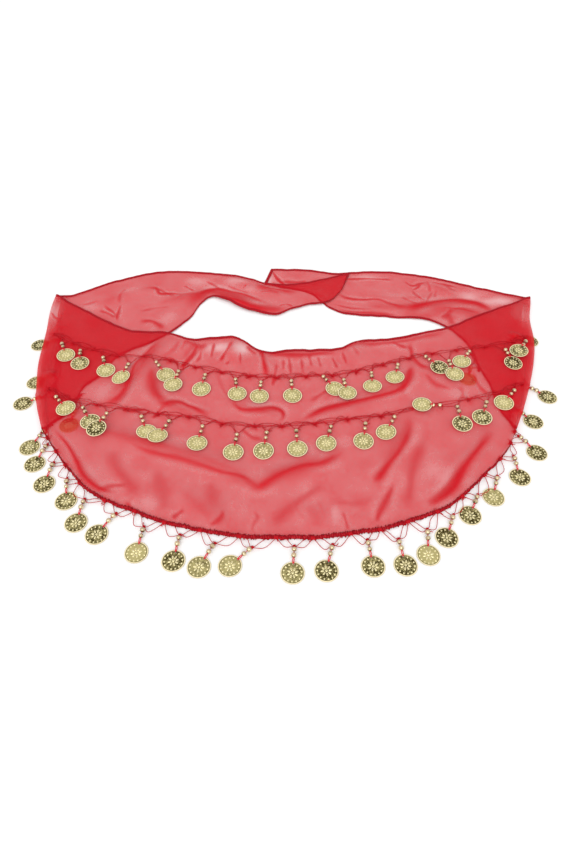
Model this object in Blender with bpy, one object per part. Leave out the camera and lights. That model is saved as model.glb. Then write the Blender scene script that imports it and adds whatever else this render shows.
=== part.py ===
"""Belly dance hip scarf, laid out flat.

A sheer chiffon half-moon is folded over at both sides, so that its two tie ends run back under
the front and lie behind it, the left one over the right one.  Rows of coins hang from thread
chains on the front, along its curved hem, and on the turned-back cloth.

Metres, +Z up.  +X follows the scarf's length and +Y goes from the coin hem to the tie ends.
The origin is at the bottom centre of the whole part, on the surface that the scarf lies on.
"""
import math
from collections import namedtuple

import bmesh
import bpy
from mathutils import Vector
from mathutils.bvhtree import BVHTree

# ---- driving sizes -----------------------------------------------------------------------

WALL = 0.001                # cloth wall
GAP = 0.0003                # clearance where two pieces meet
LYING_GAP = 0.0005          # clearance under what lies on the front's uneven top
CENTRE_X = 0.0090           # the tables' own zero is this far from the middle of the part
CENTRE_Y = 0.0327

ROOT_LIFT = 0.0012          # the turned-back cloth lies this high, on its own coins
FRONT_LIFT = 0.0027         # underside of the front where it lies on the turned-back cloth
LIFT_FULL = 0.040           # the front keeps that height this far past the cloth under it
LIFT_END = 0.085            # and is down on the surface from here on

COIN_RADIUS = 0.011
COIN_SIDES = 12
STRAND_THICKNESS = 0.0008   # coins, beads and threads of one strand, as one plate
CHAIN_HALF_WIDTH = 0.0006
BEAD_HALF_WIDTH = 0.0018
BEADS_START = 0.025         # from the coin's centre back to the far side of the upper bead
BEADS_END = 0.0165
LEVEL_STEP = 0.0019         # a coin that lies on its neighbour is this much higher
ELBOW = 0.0035              # a strand leaves its chain squarely, then turns this far out
UPPER_ELBOW = 0.0050        # the same for a strand whose coin lies on another
FLOOR_GAP = 0.0001          # strands end just above the surface
CHAIN_STEP = 0.009          # spacing of the chain's sections
HEM_START = 4               # columns of the front before the coin hem's chain starts

FOLD_FADE = 0.0001          # the feet of the folds end where they are lower than this

FRONT_COLUMNS = 3           # mesh columns between two sections of the front
FRONT_ROWS = 16
TIE_COLUMNS = 2
TIE_ROWS = 8

# ---- tables ------------------------------------------------------------------------------

# The front, from its left fold to its right fold: ends of each section on the waist hem and
# on the coin hem, and how far the middle of the section leans along X.
FrontSection = namedtuple("FrontSection", "waist_x waist_y hem_x hem_y bow")
FRONT = tuple(FrontSection(*row) for row in (
    # waist_x waist_y  hem_x   hem_y    bow
    (-0.311, 0.209, -0.2595, -0.035, -0.014),
    (-0.289, 0.193, -0.241, -0.060, -0.010),
    (-0.257, 0.171, -0.217, -0.089, -0.006),
    (-0.226, 0.150, -0.188, -0.117, -0.003),
    (-0.191, 0.132, -0.148, -0.135, 0.000),
    (-0.153, 0.131, -0.117, -0.148, 0.000),
    (-0.119, 0.117, -0.090, -0.156, 0.000),
    (-0.092, 0.121, -0.068, -0.160, 0.000),
    (-0.061, 0.123, -0.045, -0.164, 0.000),
    (-0.028, 0.096, -0.020, -0.166, 0.000),
    (0.005, 0.099, 0.005, -0.166, 0.000),
    (0.040, 0.100, 0.035, -0.165, 0.000),
    (0.067, 0.102, 0.060, -0.162, 0.000),
    (0.093, 0.116, 0.082, -0.158, 0.000),
    (0.130, 0.120, 0.108, -0.152, 0.000),
    (0.171, 0.129, 0.137, -0.141, 0.000),
    (0.208, 0.140, 0.162, -0.128, 0.002),
    (0.241, 0.159, 0.190, -0.104, 0.005),
    (0.280, 0.178, 0.218, -0.077, 0.008),
    (0.309, 0.192, 0.234, -0.058, 0.010),
    (0.333, 0.204, 0.247, -0.035, 0.012),
))

# Each tie, from the fold to its free end: ends of each section on the far edge, which goes on
# from the waist hem, and on the near edge, and the height of the underside at both.
TieSection = namedtuple("TieSection", "far_x far_y near_x near_y bow far_lift near_lift")
LEFT_TIE = tuple(TieSection(*row) for row in (
    # far_x  far_y   near_x  near_y   bow    far_lift near_lift
    (-0.288, 0.212, -0.238, -0.008, -0.009, 0.0012, 0.0012),
    (-0.276, 0.221, -0.235, 0.012, -0.006, 0.0008, 0.0012),
    (-0.262, 0.231, -0.230, 0.034, -0.003, 0.0004, 0.0012),
    (-0.246, 0.242, -0.214, 0.054, 0.000, 0.0000, 0.0012),
    (-0.226, 0.252, -0.203, 0.085, 0.000, 0.0000, 0.0012),
    (-0.200, 0.264, -0.171, 0.108, 0.000, 0.0000, 0.0012),
    (-0.172, 0.270, -0.145, 0.131, 0.000, 0.0000, 0.0012),
    (-0.146, 0.271, -0.126, 0.157, 0.000, 0.0000, 0.0008),
    (-0.122, 0.269, -0.113, 0.190, 0.000, 0.0000, 0.0002),
    (-0.098, 0.265, -0.100, 0.206, 0.000, 0.0002, 0.0000),
    (-0.074, 0.260, -0.085, 0.201, 0.000, 0.0010, 0.0006),
    (-0.050, 0.251, -0.060, 0.183, 0.000, 0.0018, 0.0014),
    (-0.028, 0.240, -0.034, 0.171, 0.000, 0.0018, 0.0014),
    (-0.005, 0.236, -0.012, 0.167, 0.000, 0.0018, 0.0014),
    (0.018, 0.238, 0.008, 0.178, 0.000, 0.0018, 0.0016),
    (0.040, 0.244, 0.032, 0.189, 0.000, 0.0018, 0.0016),
    (0.064, 0.253, 0.053, 0.193, 0.000, 0.0018, 0.0016),
    (0.083, 0.260, 0.066, 0.203, 0.000, 0.0018, 0.0016),
    (0.092, 0.263, 0.079, 0.224, 0.000, 0.0018, 0.0016),
))
RIGHT_TIE = tuple(TieSection(*row) for row in (
    # far_x  far_y   near_x  near_y   bow    far_lift near_lift
    (0.310, 0.212, 0.237, 0.000, 0.009, 0.0012, 0.0012),
    (0.297, 0.218, 0.236, 0.034, 0.006, 0.0008, 0.0012),
    (0.282, 0.225, 0.231, 0.064, 0.003, 0.0004, 0.0012),
    (0.266, 0.232, 0.228, 0.098, 0.000, 0.0000, 0.0012),
    (0.249, 0.239, 0.219, 0.123, 0.000, 0.0000, 0.0012),
    (0.228, 0.248, 0.206, 0.141, 0.000, 0.0000, 0.0012),
    (0.206, 0.257, 0.188, 0.155, 0.000, 0.0000, 0.0008),
    (0.182, 0.263, 0.168, 0.160, 0.000, 0.0000, 0.0003),
    (0.156, 0.268, 0.142, 0.162, 0.000, 0.0000, 0.0000),
    (0.128, 0.270, 0.118, 0.165, 0.000, 0.0000, 0.0000),
    (0.104, 0.269, 0.094, 0.167, 0.000, 0.0000, 0.0000),
    (0.084, 0.267, 0.076, 0.172, 0.000, 0.0000, 0.0000),
    (0.066, 0.266, 0.060, 0.182, 0.000, 0.0000, 0.0000),
    (0.052, 0.270, 0.049, 0.196, 0.000, 0.0000, 0.0000),
    (0.036, 0.274, 0.038, 0.212, 0.000, 0.0000, 0.0000),
    (0.018, 0.276, 0.020, 0.223, 0.000, 0.0000, 0.0000),
    (0.000, 0.276, -0.005, 0.229, 0.000, 0.0000, 0.0000),
    (-0.020, 0.276, -0.029, 0.240, 0.000, 0.0000, 0.0000),
))

# A side fold in section, from the edge of its turned-under lip round to the top: how far each
# station is towards the next section, of the tie (under) or of the front (above), and the
# height of the middle of the wall.
FoldStation = namedtuple("FoldStation", "towards_tie towards_front height")
SIDE_FOLD = tuple(FoldStation(*row) for row in (
    # towards_tie towards_front height
    (0.38, 0.00, 0.0017),
    (0.19, 0.00, 0.0017),
    (0.07, 0.00, 0.0021),
    (0.00, 0.00, 0.0033),
    (0.00, 0.08, 0.0045),
    (0.00, 0.30, 0.0054),
    (0.00, 0.62, 0.0048),
))
LIP_GAP_SHARE = 0.016       # the seam between the lip and the tie, in the same shares

# Folds and gathers that stand up in the front: three points of each in plan, its height and
# the half width of its foot.
Fold = namedtuple("Fold", "start_x start_y mid_x mid_y end_x end_y height width")
FRONT_FOLDS = tuple(Fold(*row) for row in (
    # start_x start_y  mid_x  mid_y   end_x   end_y  height  width
    (-0.223, -0.033, -0.131, -0.057, -0.028, -0.100, 0.0045, 0.013),
    (-0.030, -0.101, 0.006, -0.088, 0.056, -0.068, 0.0042, 0.013),
    (0.153, 0.092, 0.126, 0.030, 0.015, -0.016, 0.0034, 0.012),
    (-0.143, 0.122, -0.174, 0.055, -0.206, 0.001, 0.0036, 0.012),
    (-0.163, 0.067, -0.140, 0.010, -0.079, -0.008, 0.0022, 0.011),
    (0.138, -0.010, 0.115, -0.058, 0.091, -0.103, 0.0034, 0.012),
    (0.218, -0.035, 0.200, -0.063, 0.162, -0.108, 0.0026, 0.011),
    (-0.027, 0.094, -0.024, 0.075, -0.021, 0.052, 0.0036, 0.010),
    (-0.063, 0.007, -0.035, -0.003, -0.001, -0.011, 0.0024, 0.012),
    (-0.110, 0.112, -0.118, 0.092, -0.126, 0.074, 0.0026, 0.010),
    (-0.066, 0.118, -0.062, 0.095, -0.056, 0.066, 0.0044, 0.012),
    (0.094, 0.116, 0.090, 0.095, 0.084, 0.070, 0.0036, 0.011),
    (-0.104, -0.110, -0.086, -0.128, -0.064, -0.150, 0.0020, 0.012),
    (0.020, -0.126, 0.028, -0.142, 0.034, -0.158, 0.0018, 0.012),
))
LEFT_FOLDS = tuple(Fold(*row) for row in (
    # start_x start_y  mid_x  mid_y   end_x   end_y  height  width
    (-0.112, 0.208, -0.060, 0.192, -0.012, 0.178, 0.0030, 0.011),
    (-0.170, 0.190, -0.140, 0.206, -0.106, 0.214, 0.0022, 0.011),
    (-0.250, 0.190, -0.215, 0.215, -0.170, 0.232, 0.0018, 0.012),
    (-0.070, 0.244, -0.040, 0.226, 0.000, 0.214, 0.0020, 0.010),
))
RIGHT_FOLDS = tuple(Fold(*row) for row in (
    # start_x start_y  mid_x  mid_y   end_x   end_y  height  width
    (0.104, 0.186, 0.180, 0.186, 0.250, 0.196, 0.0026, 0.011),
    (0.110, 0.212, 0.160, 0.204, 0.214, 0.214, 0.0018, 0.011),
    (0.186, 0.240, 0.216, 0.224, 0.236, 0.200, 0.0020, 0.010),
))

# Thread chains that lie on the front's top side, in plan.
Point = namedtuple("Point", "x y")
UPPER_CHAIN = tuple(Point(*row) for row in (
    (-0.300, 0.128), (-0.262, 0.107), (-0.222, 0.090), (-0.186, 0.080), (-0.142, 0.077),
    (-0.100, 0.064), (-0.060, 0.054), (-0.020, 0.048), (0.020, 0.050), (0.060, 0.052),
    (0.100, 0.064), (0.140, 0.078), (0.180, 0.088), (0.220, 0.096), (0.262, 0.104),
    (0.300, 0.116),
))
MIDDLE_CHAIN = tuple(Point(*row) for row in (
    (-0.282, 0.038), (-0.262, 0.021), (-0.235, 0.006), (-0.200, -0.001), (-0.168, -0.005),
    (-0.136, -0.011), (-0.104, -0.015), (-0.070, -0.024), (-0.036, -0.028), (0.000, -0.028),
    (0.036, -0.024), (0.070, -0.018), (0.104, -0.013), (0.140, -0.004), (0.178, 0.004),
    (0.212, 0.011), (0.244, 0.020), (0.274, 0.035),
))
# Chains on the turned-back cloth: across the two side folds, and along its hidden hems.
LEFT_TURNED_CHAIN = tuple(Point(*row) for row in (
    (-0.284, 0.124), (-0.279, 0.090), (-0.270, 0.050), (-0.261, 0.015),
))
RIGHT_TURNED_CHAIN = tuple(Point(*row) for row in (
    (0.246, -0.016), (0.254, 0.005), (0.268, 0.045), (0.283, 0.090), (0.291, 0.124),
))
LEFT_HIDDEN_CHAIN = tuple(Point(*row) for row in (
    (-0.237, -0.012), (-0.233, 0.012), (-0.228, 0.033), (-0.212, 0.053),
))
RIGHT_HIDDEN_CHAIN = tuple(Point(*row) for row in (
    (0.217, 0.121), (0.226, 0.096), (0.229, 0.062), (0.234, 0.028),
))

# Strands of a chain: where each starts along it, which way it lies (degrees from the coin
# hem's side, -Y, towards +X), how far its coin's centre is, and how many coins it lies on.
Strand = namedtuple("Strand", "along heading drop level")
UPPER_STRANDS = tuple(Strand(*row) for row in (
    # along heading drop  level
    (0.027, 26, 0.031, 0),
    (0.058, 12, 0.029, 0),
    (0.089, 20, 0.031, 0),
    (0.128, -12, 0.034, 0),
    (0.153, 37, 0.030, 0),
    (0.189, -9, 0.0325, 1),
    (0.221, -6, 0.030, 0),
    (0.256, 8, 0.030, 0),
    (0.287, -3, 0.029, 0),
    (0.321, 3, 0.028, 0),
    (0.359, 34, 0.022, 0),
    (0.381, 6, 0.0285, 1),
    (0.417, -3, 0.029, 0),
    (0.453, -16, 0.028, 0),
    (0.487, 37, 0.024, 0),
    (0.513, 6, 0.0365, 1),
    (0.547, -36, 0.028, 0),
    (0.587, 10, 0.032, 0),
    (0.621, -37, 0.0275, 1),
))
MIDDLE_STRANDS = tuple(Strand(*row) for row in (
    # along heading drop  level
    (0.032, 41, 0.028, 0),
    (0.068, 32, 0.030, 0),
    (0.101, -14, 0.0305, 1),
    (0.135, 23, 0.030, 0),
    (0.171, -22, 0.0295, 1),
    (0.208, -8, 0.031, 0),
    (0.246, -6, 0.035, 0),
    (0.277, -7, 0.031, 0),
    (0.307, 2, 0.030, 0),
    (0.346, -15, 0.029, 0),
    (0.384, -10, 0.031, 0),
    (0.418, -29, 0.029, 0),
    (0.477, -97, 0.0270, 1),
    (0.488, 2, 0.030, 0),
    (0.526, -24, 0.032, 0),
    (0.563, -42, 0.028, 0),
))
HEM_STRANDS = tuple(Strand(*row) for row in (
    # along heading drop  level
    (0.003, -24, 0.016, 0),
    (0.021, -14, 0.023, 0),
    (0.044, -6, 0.029, 0),
    (0.071, 12, 0.029, 0),
    (0.104, -5, 0.029, 0),
    (0.142, -32, 0.028, 0),
    (0.173, -6, 0.031, 0),
    (0.208, -6, 0.029, 0),
    (0.244, -28, 0.031, 0),
    (0.280, -47, 0.032, 0),
    (0.314, -4, 0.029, 0),
    (0.349, -15, 0.029, 0),
    (0.381, 6, 0.029, 0),
    (0.408, 7, 0.034, 0),
    (0.440, -7, 0.034, 0),
    (0.471, -24, 0.032, 0),
    (0.509, -28, 0.034, 0),
    (0.541, -21, 0.033, 0),
    (0.572, -1, 0.031, 0),
    (0.597, 31, 0.025, 0),
))
LEFT_TURNED_STRANDS = tuple(Strand(*row) for row in (
    # along heading drop  level
    (0.009, -69, 0.0195, 0),
    (0.073, -55, 0.0190, 0),
    (0.106, -66, 0.031, 0),
))
RIGHT_TURNED_STRANDS = tuple(Strand(*row) for row in (
    # along heading drop  level
    (0.016, 40, 0.024, 0),
    (0.061, 50, 0.036, 0),
    (0.1445, 66, 0.0135, 0),
))
LEFT_HIDDEN_STRANDS = tuple(Strand(*row) for row in (
    # along heading drop  level
    (0.017, -6, 0.030, 0),
))
RIGHT_HIDDEN_STRANDS = tuple(Strand(*row) for row in (
    # along heading drop  level
    (0.048, -21, 0.030, 0),
))

# ---- curves and heights --------------------------------------------------------------------


def sample(rows, place):
    """Row of a table at a fractional place, on one smooth curve through all its rows."""
    index = min(int(place), len(rows) - 2)
    part = place - index
    before, start = rows[max(index - 1, 0)], rows[index]
    end, after = rows[index + 1], rows[min(index + 2, len(rows) - 1)]
    values = []
    for a, b, c, d in zip(before, start, end, after):
        bend = 2 * a - 5 * b + 4 * c - d + part * (3 * (b - c) + d - a)
        values.append(b + 0.5 * part * (c - a + part * bend))
    return type(start)(*values)


def ease(value, low, high):
    """0 below low, 1 above high, and a smooth rise between them."""
    part = min(max((value - low) / (high - low), 0.0), 1.0)
    return part * part * (3 - 2 * part)


def fold_height(folds, x, y):
    """Height that the folds of a piece add at a point in plan."""
    spot = Vector((x, y))
    height = 0.0
    for fold in folds:
        path = (Vector(fold[0:2]), Vector(fold[2:4]), Vector(fold[4:6]))
        distance, along = min(
            (distance_along(spot, path[0], path[1], 0), distance_along(spot, path[1], path[2], 1))
        )
        taper = math.sin(math.pi * min(max(along / 2, 0.06), 0.94)) ** 0.7
        height += fold.height * taper * math.exp(-(distance / fold.width) ** 2)
    return max(height - FOLD_FADE, 0.0)


def distance_along(spot, start, end, offset):
    """Distance from a spot to a straight stretch, and how far along it the nearest point is."""
    run = end - start
    part = min(max((spot - start).dot(run) / run.length_squared, 0.0), 1.0)
    return (spot - start - run * part).length, offset + part


def near_edge_x(tie, y):
    """X of the turned-back part of a tie's near edge at a given Y."""
    low, high = tie[0], tie[1]
    for low, high in zip(tie[0:6], tie[1:7]):
        if y <= high.near_y:
            break
    part = max((y - low.near_y) / (high.near_y - low.near_y), 0.0)
    return low.near_x + (high.near_x - low.near_x) * part


def front_height(x, y):
    """Middle of the front's wall: up on the turned-back cloth, flat elsewhere, plus its folds."""
    past_left = x - near_edge_x(LEFT_TIE, y)
    past_right = near_edge_x(RIGHT_TIE, y) - x
    lift = FRONT_LIFT * (1 - ease(min(past_left, past_right), LIFT_FULL, LIFT_END))
    return WALL / 2 + lift + fold_height(FRONT_FOLDS, x, y)


# ---- cloth ---------------------------------------------------------------------------------


def front_point(section, across):
    """Point in plan of a section of the front, 0 at its waist hem and 1 at its coin hem."""
    lean = section.bow * 4 * across * (1 - across)
    x = section.waist_x + (section.hem_x - section.waist_x) * across + lean
    y = section.waist_y + (section.hem_y - section.waist_y) * across
    return Vector((x, y, 0))


def column_of(section, rows):
    """Points down a section, at no height."""
    return [front_point(section, row / rows) for row in range(rows + 1)]


def turned_section(tie):
    """First section of a tie, in the front's terms."""
    first = tie[0]
    return FrontSection(first.far_x, first.far_y, first.near_x, first.near_y, first.bow)


def side_fold(fold, front_next, tie_next):
    """Columns of points round a side fold, from its turned-under lip to its top."""
    starts = column_of(fold, FRONT_ROWS)
    tops = column_of(front_next, FRONT_ROWS)
    unders = column_of(tie_next, FRONT_ROWS)
    columns = []
    for station in SIDE_FOLD:
        column = []
        for start, top, under in zip(starts, tops, unders):
            point = start + (top - start) * station.towards_front
            point += (under - start) * station.towards_tie
            point.z = station.height
            column.append(point)
        columns.append(column)
    return columns


def front_grid():
    """Middle of the front's wall, as columns of points from lip to lip."""
    inner = []
    for step in range(FRONT_COLUMNS, (len(FRONT) - 2) * FRONT_COLUMNS + 1):
        column = column_of(sample(FRONT, step / FRONT_COLUMNS), FRONT_ROWS)
        for point in column:
            point.z = front_height(point.x, point.y)
        inner.append(column)
    left = side_fold(FRONT[0], FRONT[1], turned_section(LEFT_TIE))
    right = side_fold(FRONT[-1], FRONT[-2], turned_section(RIGHT_TIE))
    return left + inner + right[::-1]


def tie_grid(tie, folds, fold):
    """Middle of a tie's wall, from the edge of the front's lip to the tie's free end."""
    share = SIDE_FOLD[0].towards_tie + LIP_GAP_SHARE
    values = [a + (b - a) * share for a, b in zip(fold, turned_section(tie))]
    rows = (TieSection(*values, ROOT_LIFT, ROOT_LIFT),) + tie
    columns = []
    for step in range((len(rows) - 1) * TIE_COLUMNS + 1):
        at = sample(rows, step / TIE_COLUMNS)
        column = column_of(FrontSection(*at[:5]), TIE_ROWS)
        for row, point in enumerate(column):
            lift = at.far_lift + (at.near_lift - at.far_lift) * row / TIE_ROWS
            point.z = WALL / 2 + max(lift, 0) + fold_height(folds, point.x, point.y)
        columns.append(column)
    return columns


def grid_normals(grid):
    """Unit normal at each point of a grid, from the points on both sides of it."""
    normals = []
    last, end = len(grid) - 1, len(grid[0]) - 1
    for i, column in enumerate(grid):
        line = []
        for j in range(end + 1):
            along = grid[min(i + 1, last)][j] - grid[max(i - 1, 0)][j]
            across = column[min(j + 1, end)] - column[max(j - 1, 0)]
            line.append(across.cross(along).normalized())
        normals.append(line)
    return normals


def cloth_wall(name, grid, material):
    """Closed wall of cloth on a grid of points that run down its middle."""
    mesh = bmesh.new()
    normals = grid_normals(grid)
    sides = []
    for sign in (1, -1):
        side = []
        for column, line in zip(grid, normals):
            moved = [point + normal * sign * WALL / 2 for point, normal in zip(column, line)]
            side.append([mesh.verts.new(point) for point in moved])
        sides.append(side)
    last, end = len(grid) - 1, len(grid[0]) - 1
    for side in sides:
        for i in range(last):
            for j in range(end):
                mesh.faces.new((side[i][j], side[i][j + 1], side[i + 1][j + 1], side[i + 1][j]))
    rim = [(i, 0) for i in range(last)] + [(last, j) for j in range(end)]
    rim += [(i, end) for i in range(last, 0, -1)] + [(0, j) for j in range(end, 0, -1)]
    for (i, j), (k, m) in zip(rim, rim[1:] + rim[:1]):
        mesh.faces.new((sides[0][i][j], sides[0][k][m], sides[1][k][m], sides[1][i][j]))
    return finish(name, mesh, material)


# ---- coins on their chains -----------------------------------------------------------------


def surface_of(cloth):
    """Search tree of a piece's faces, to find its top side from above."""
    corners = [vertex.co.copy() for vertex in cloth.data.vertices]
    return BVHTree.FromPolygons(corners, [tuple(face.vertices) for face in cloth.data.polygons])


def top_height(surface, x, y):
    """Height just clear of a surface's top side, or of the ground where there is no surface."""
    if surface is None:
        return FLOOR_GAP
    found = surface.ray_cast(Vector((x, y, 1.0)), Vector((0, 0, -1)))[0]
    return FLOOR_GAP if found is None else found.z + LYING_GAP


def smooth_path(points):
    """Points along one smooth curve through the given ones, and the distance to each."""
    steps = 12
    path = [sample(points, step / steps) for step in range((len(points) - 1) * steps + 1)]
    path = [Vector((point.x, point.y, 0)) for point in path]
    distance = [0.0]
    for start, end in zip(path, path[1:]):
        distance.append(distance[-1] + (end - start).length)
    return path, distance


def point_along(path, distance, place):
    """Point of a path at a distance along it, and the path's direction there."""
    place = min(max(place, 0.0), distance[-1])
    index = 0
    while index < len(path) - 2 and distance[index + 1] < place:
        index += 1
    run = path[index + 1] - path[index]
    part = (place - distance[index]) / (distance[index + 1] - distance[index])
    return path[index] + run * part, run.normalized()


def chain_places(strands, length):
    """Distances of the chain's sections: even ones, and a pair at the root of each strand."""
    places = [0.0, length]
    places += [length * step / round(length / CHAIN_STEP)
               for step in range(1, round(length / CHAIN_STEP))]
    for strand in strands:
        places = [place for place in places
                  if abs(place - strand.along) > 3 * CHAIN_HALF_WIDTH or place in (0.0, length)]
    for strand in strands:
        places += [strand.along - CHAIN_HALF_WIDTH, strand.along + CHAIN_HALF_WIDTH]
    return sorted(places)


def coin_plane(surface, centre, level, lower):
    """Height in plan of a coin's underside, for a flat coin on what is below it."""

    def rest_height(x, y):
        heights = [top_height(surface, x, y) + level * LEVEL_STEP]
        for spot, height_at in lower:
            if (Vector((x, y, 0)) - spot).length < COIN_RADIUS + LYING_GAP:
                heights.append(height_at(x, y) + STRAND_THICKNESS + LYING_GAP)
        return max(heights)

    turns = [2 * math.pi * step / COIN_SIDES for step in range(COIN_SIDES)]
    rim = [(COIN_RADIUS * math.cos(turn), COIN_RADIUS * math.sin(turn)) for turn in turns]
    levels = [top_height(surface, centre.x + x, centre.y + y) for x, y in rim]
    half = COIN_SIDES * COIN_RADIUS * COIN_RADIUS / 2
    slope_x = sum(x * height for (x, y), height in zip(rim, levels)) / half
    slope_y = sum(y * height for (x, y), height in zip(rim, levels)) / half
    spots = [(x * part, y * part) for x, y in rim for part in (0.0, 0.3, 0.6, 0.8, 1.0)]
    base = max(rest_height(centre.x + x, centre.y + y) - slope_x * x - slope_y * y
               for x, y in spots)

    def height_at(x, y):
        return base + slope_x * (x - centre.x) + slope_y * (y - centre.y)

    return height_at


def lay_strands(path, distance, strands, surface):
    """Elbow, direction and coin plane of each strand, the lowest coins first."""
    laid = {}
    for strand in sorted(strands, key=lambda item: item.level):
        root, run = point_along(path, distance, strand.along)
        near = Vector((run.y, -run.x, 0))
        turn = math.radians(strand.heading)
        ahead = Vector((math.sin(turn), -math.cos(turn), 0))
        elbow = root + near * (UPPER_ELBOW if strand.level else ELBOW)
        centre = elbow + ahead * strand.drop
        lower = [item[3:] for item in laid.values()] if strand.level else []
        plane = coin_plane(surface, centre, strand.level, lower)
        laid[strand] = (elbow, near, ahead, centre, plane)
    return laid


def strand_rings(strand, place, surface):
    """Rings of four points down a strand, from past its root to the far side of its coin."""
    elbow, near, ahead, centre, height_at = place
    bend = (near + ahead).normalized()
    stations = [(elbow - near * ELBOW / 2, bend, CHAIN_HALF_WIDTH, False)]
    for back in (BEADS_START, BEADS_END):
        reach = max(strand.drop - back, 2 * CHAIN_HALF_WIDTH)
        stations.append((elbow + ahead * reach, ahead, BEAD_HALF_WIDTH, False))
    for step in range(COIN_SIDES // 2):
        turn = 2 * math.pi * (step + 0.5) / COIN_SIDES
        stations.append((centre - ahead * COIN_RADIUS * math.cos(turn), ahead,
                         COIN_RADIUS * math.sin(turn), True))
    rings = []
    for middle, facing, half_width, on_coin in stations:
        aside = Vector((-facing.y, facing.x, 0)) * half_width
        spots = (middle - aside, middle + aside)
        lows = [height_at(spot.x, spot.y) for spot in spots]
        if not on_coin:
            clear = max(top_height(surface, spot.x, spot.y) for spot in spots + (middle,))
            lows = [max(low, clear) for low in lows]
        rings.append([Vector((spot.x, spot.y, low + rise)) for spot, low, rise in (
            (spots[0], lows[0], 0), (spots[0], lows[0], STRAND_THICKNESS),
            (spots[1], lows[1], STRAND_THICKNESS), (spots[1], lows[1], 0))])
    return rings


def coin_row(name, points, strands, surface, material, heights=None):
    """A chain of thread with its coins, as one solid: the strands grow out of its near side."""
    path, distance = smooth_path(points)
    places = chain_places(strands, distance[-1])
    roots = {round(strand.along - CHAIN_HALF_WIDTH, 6): strand for strand in strands}
    laid = lay_strands(path, distance, strands, surface)
    mesh = bmesh.new()
    sections = []
    for place in places:
        centre, run = point_along(path, distance, place)
        near = Vector((run.y, -run.x, 0)) * CHAIN_HALF_WIDTH
        if heights is None:
            spots = [centre + near * side + run * CHAIN_STEP * step / 2
                     for side in (-1, 0, 1) for step in (-1, -0.5, 0, 0.5, 1)]
            low = max(top_height(surface, spot.x, spot.y) for spot in spots)
        else:
            low = heights(place / distance[-1])
        corners = []
        for side, rise in ((-1, 0), (-1, STRAND_THICKNESS), (1, STRAND_THICKNESS), (1, 0)):
            corner = centre + near * side
            corners.append(mesh.verts.new((corner.x, corner.y, low + rise)))
        sections.append(corners)
    mesh.faces.new(sections[0])
    mesh.faces.new(sections[-1][::-1])
    for place, start, end in zip(places, sections, sections[1:]):
        strand = roots.get(round(place, 6))
        for k in range(4):
            if k == 2 and strand is not None:
                grow_strand(mesh, (start[3], start[2], end[2], end[3]),
                            strand_rings(strand, laid[strand], surface))
                continue
            m = (k + 1) % 4
            mesh.faces.new((start[k], end[k], end[m], start[m]))
    return finish(name, mesh, material)


def grow_strand(mesh, first, rings):
    """Skin a strand from a face of its chain through all its rings, and close its end."""
    previous = first
    for ring in rings:
        corners = [mesh.verts.new(point) for point in ring]
        for k in range(4):
            m = (k + 1) % 4
            mesh.faces.new((previous[k], previous[m], corners[m], corners[k]))
        previous = corners
    mesh.faces.new(previous)


# ---- objects and materials -----------------------------------------------------------------


def make_material(name, colour, roughness, metallic):
    """Plain surface finish of one kind of piece."""
    material = bpy.data.materials.new(name)
    material.use_nodes = True
    shader = material.node_tree.nodes["Principled BSDF"]
    shader.inputs["Base Color"].default_value = colour + (1.0,)
    shader.inputs["Roughness"].default_value = roughness
    shader.inputs["Metallic"].default_value = metallic
    return material


def finish(name, mesh, material):
    """Make one named object of a closed mesh, with its faces outwards."""
    bmesh.ops.recalc_face_normals(mesh, faces=mesh.faces)
    data = bpy.data.meshes.new(name)
    mesh.to_mesh(data)
    mesh.free()
    data.materials.append(material)
    data.shade_smooth()
    data.set_sharp_from_angle(angle=math.radians(40))
    piece = bpy.data.objects.new(name, data)
    bpy.context.scene.collection.objects.link(piece)
    return piece


def hem_chain(grid):
    """Points just outside the front's coin hem, and a reader of the chain's height along it."""
    edge = [column[-1] for column in grid[HEM_START:-HEM_START]]
    points = []
    for index, point in enumerate(edge):
        run = edge[min(index + 1, len(edge) - 1)] - edge[max(index - 1, 0)]
        outward = Vector((run.y, -run.x, 0)).normalized() * (CHAIN_HALF_WIDTH + 3 * GAP)
        points.append(Point(point.x + outward.x, point.y + outward.y))

    def height_at(part):
        index = min(int(part * (len(edge) - 1)), len(edge) - 2)
        rest = part * (len(edge) - 1) - index
        middle = edge[index].z + (edge[index + 1].z - edge[index].z) * rest
        return max(middle - STRAND_THICKNESS / 2, FLOOR_GAP)

    return tuple(points), height_at


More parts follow.
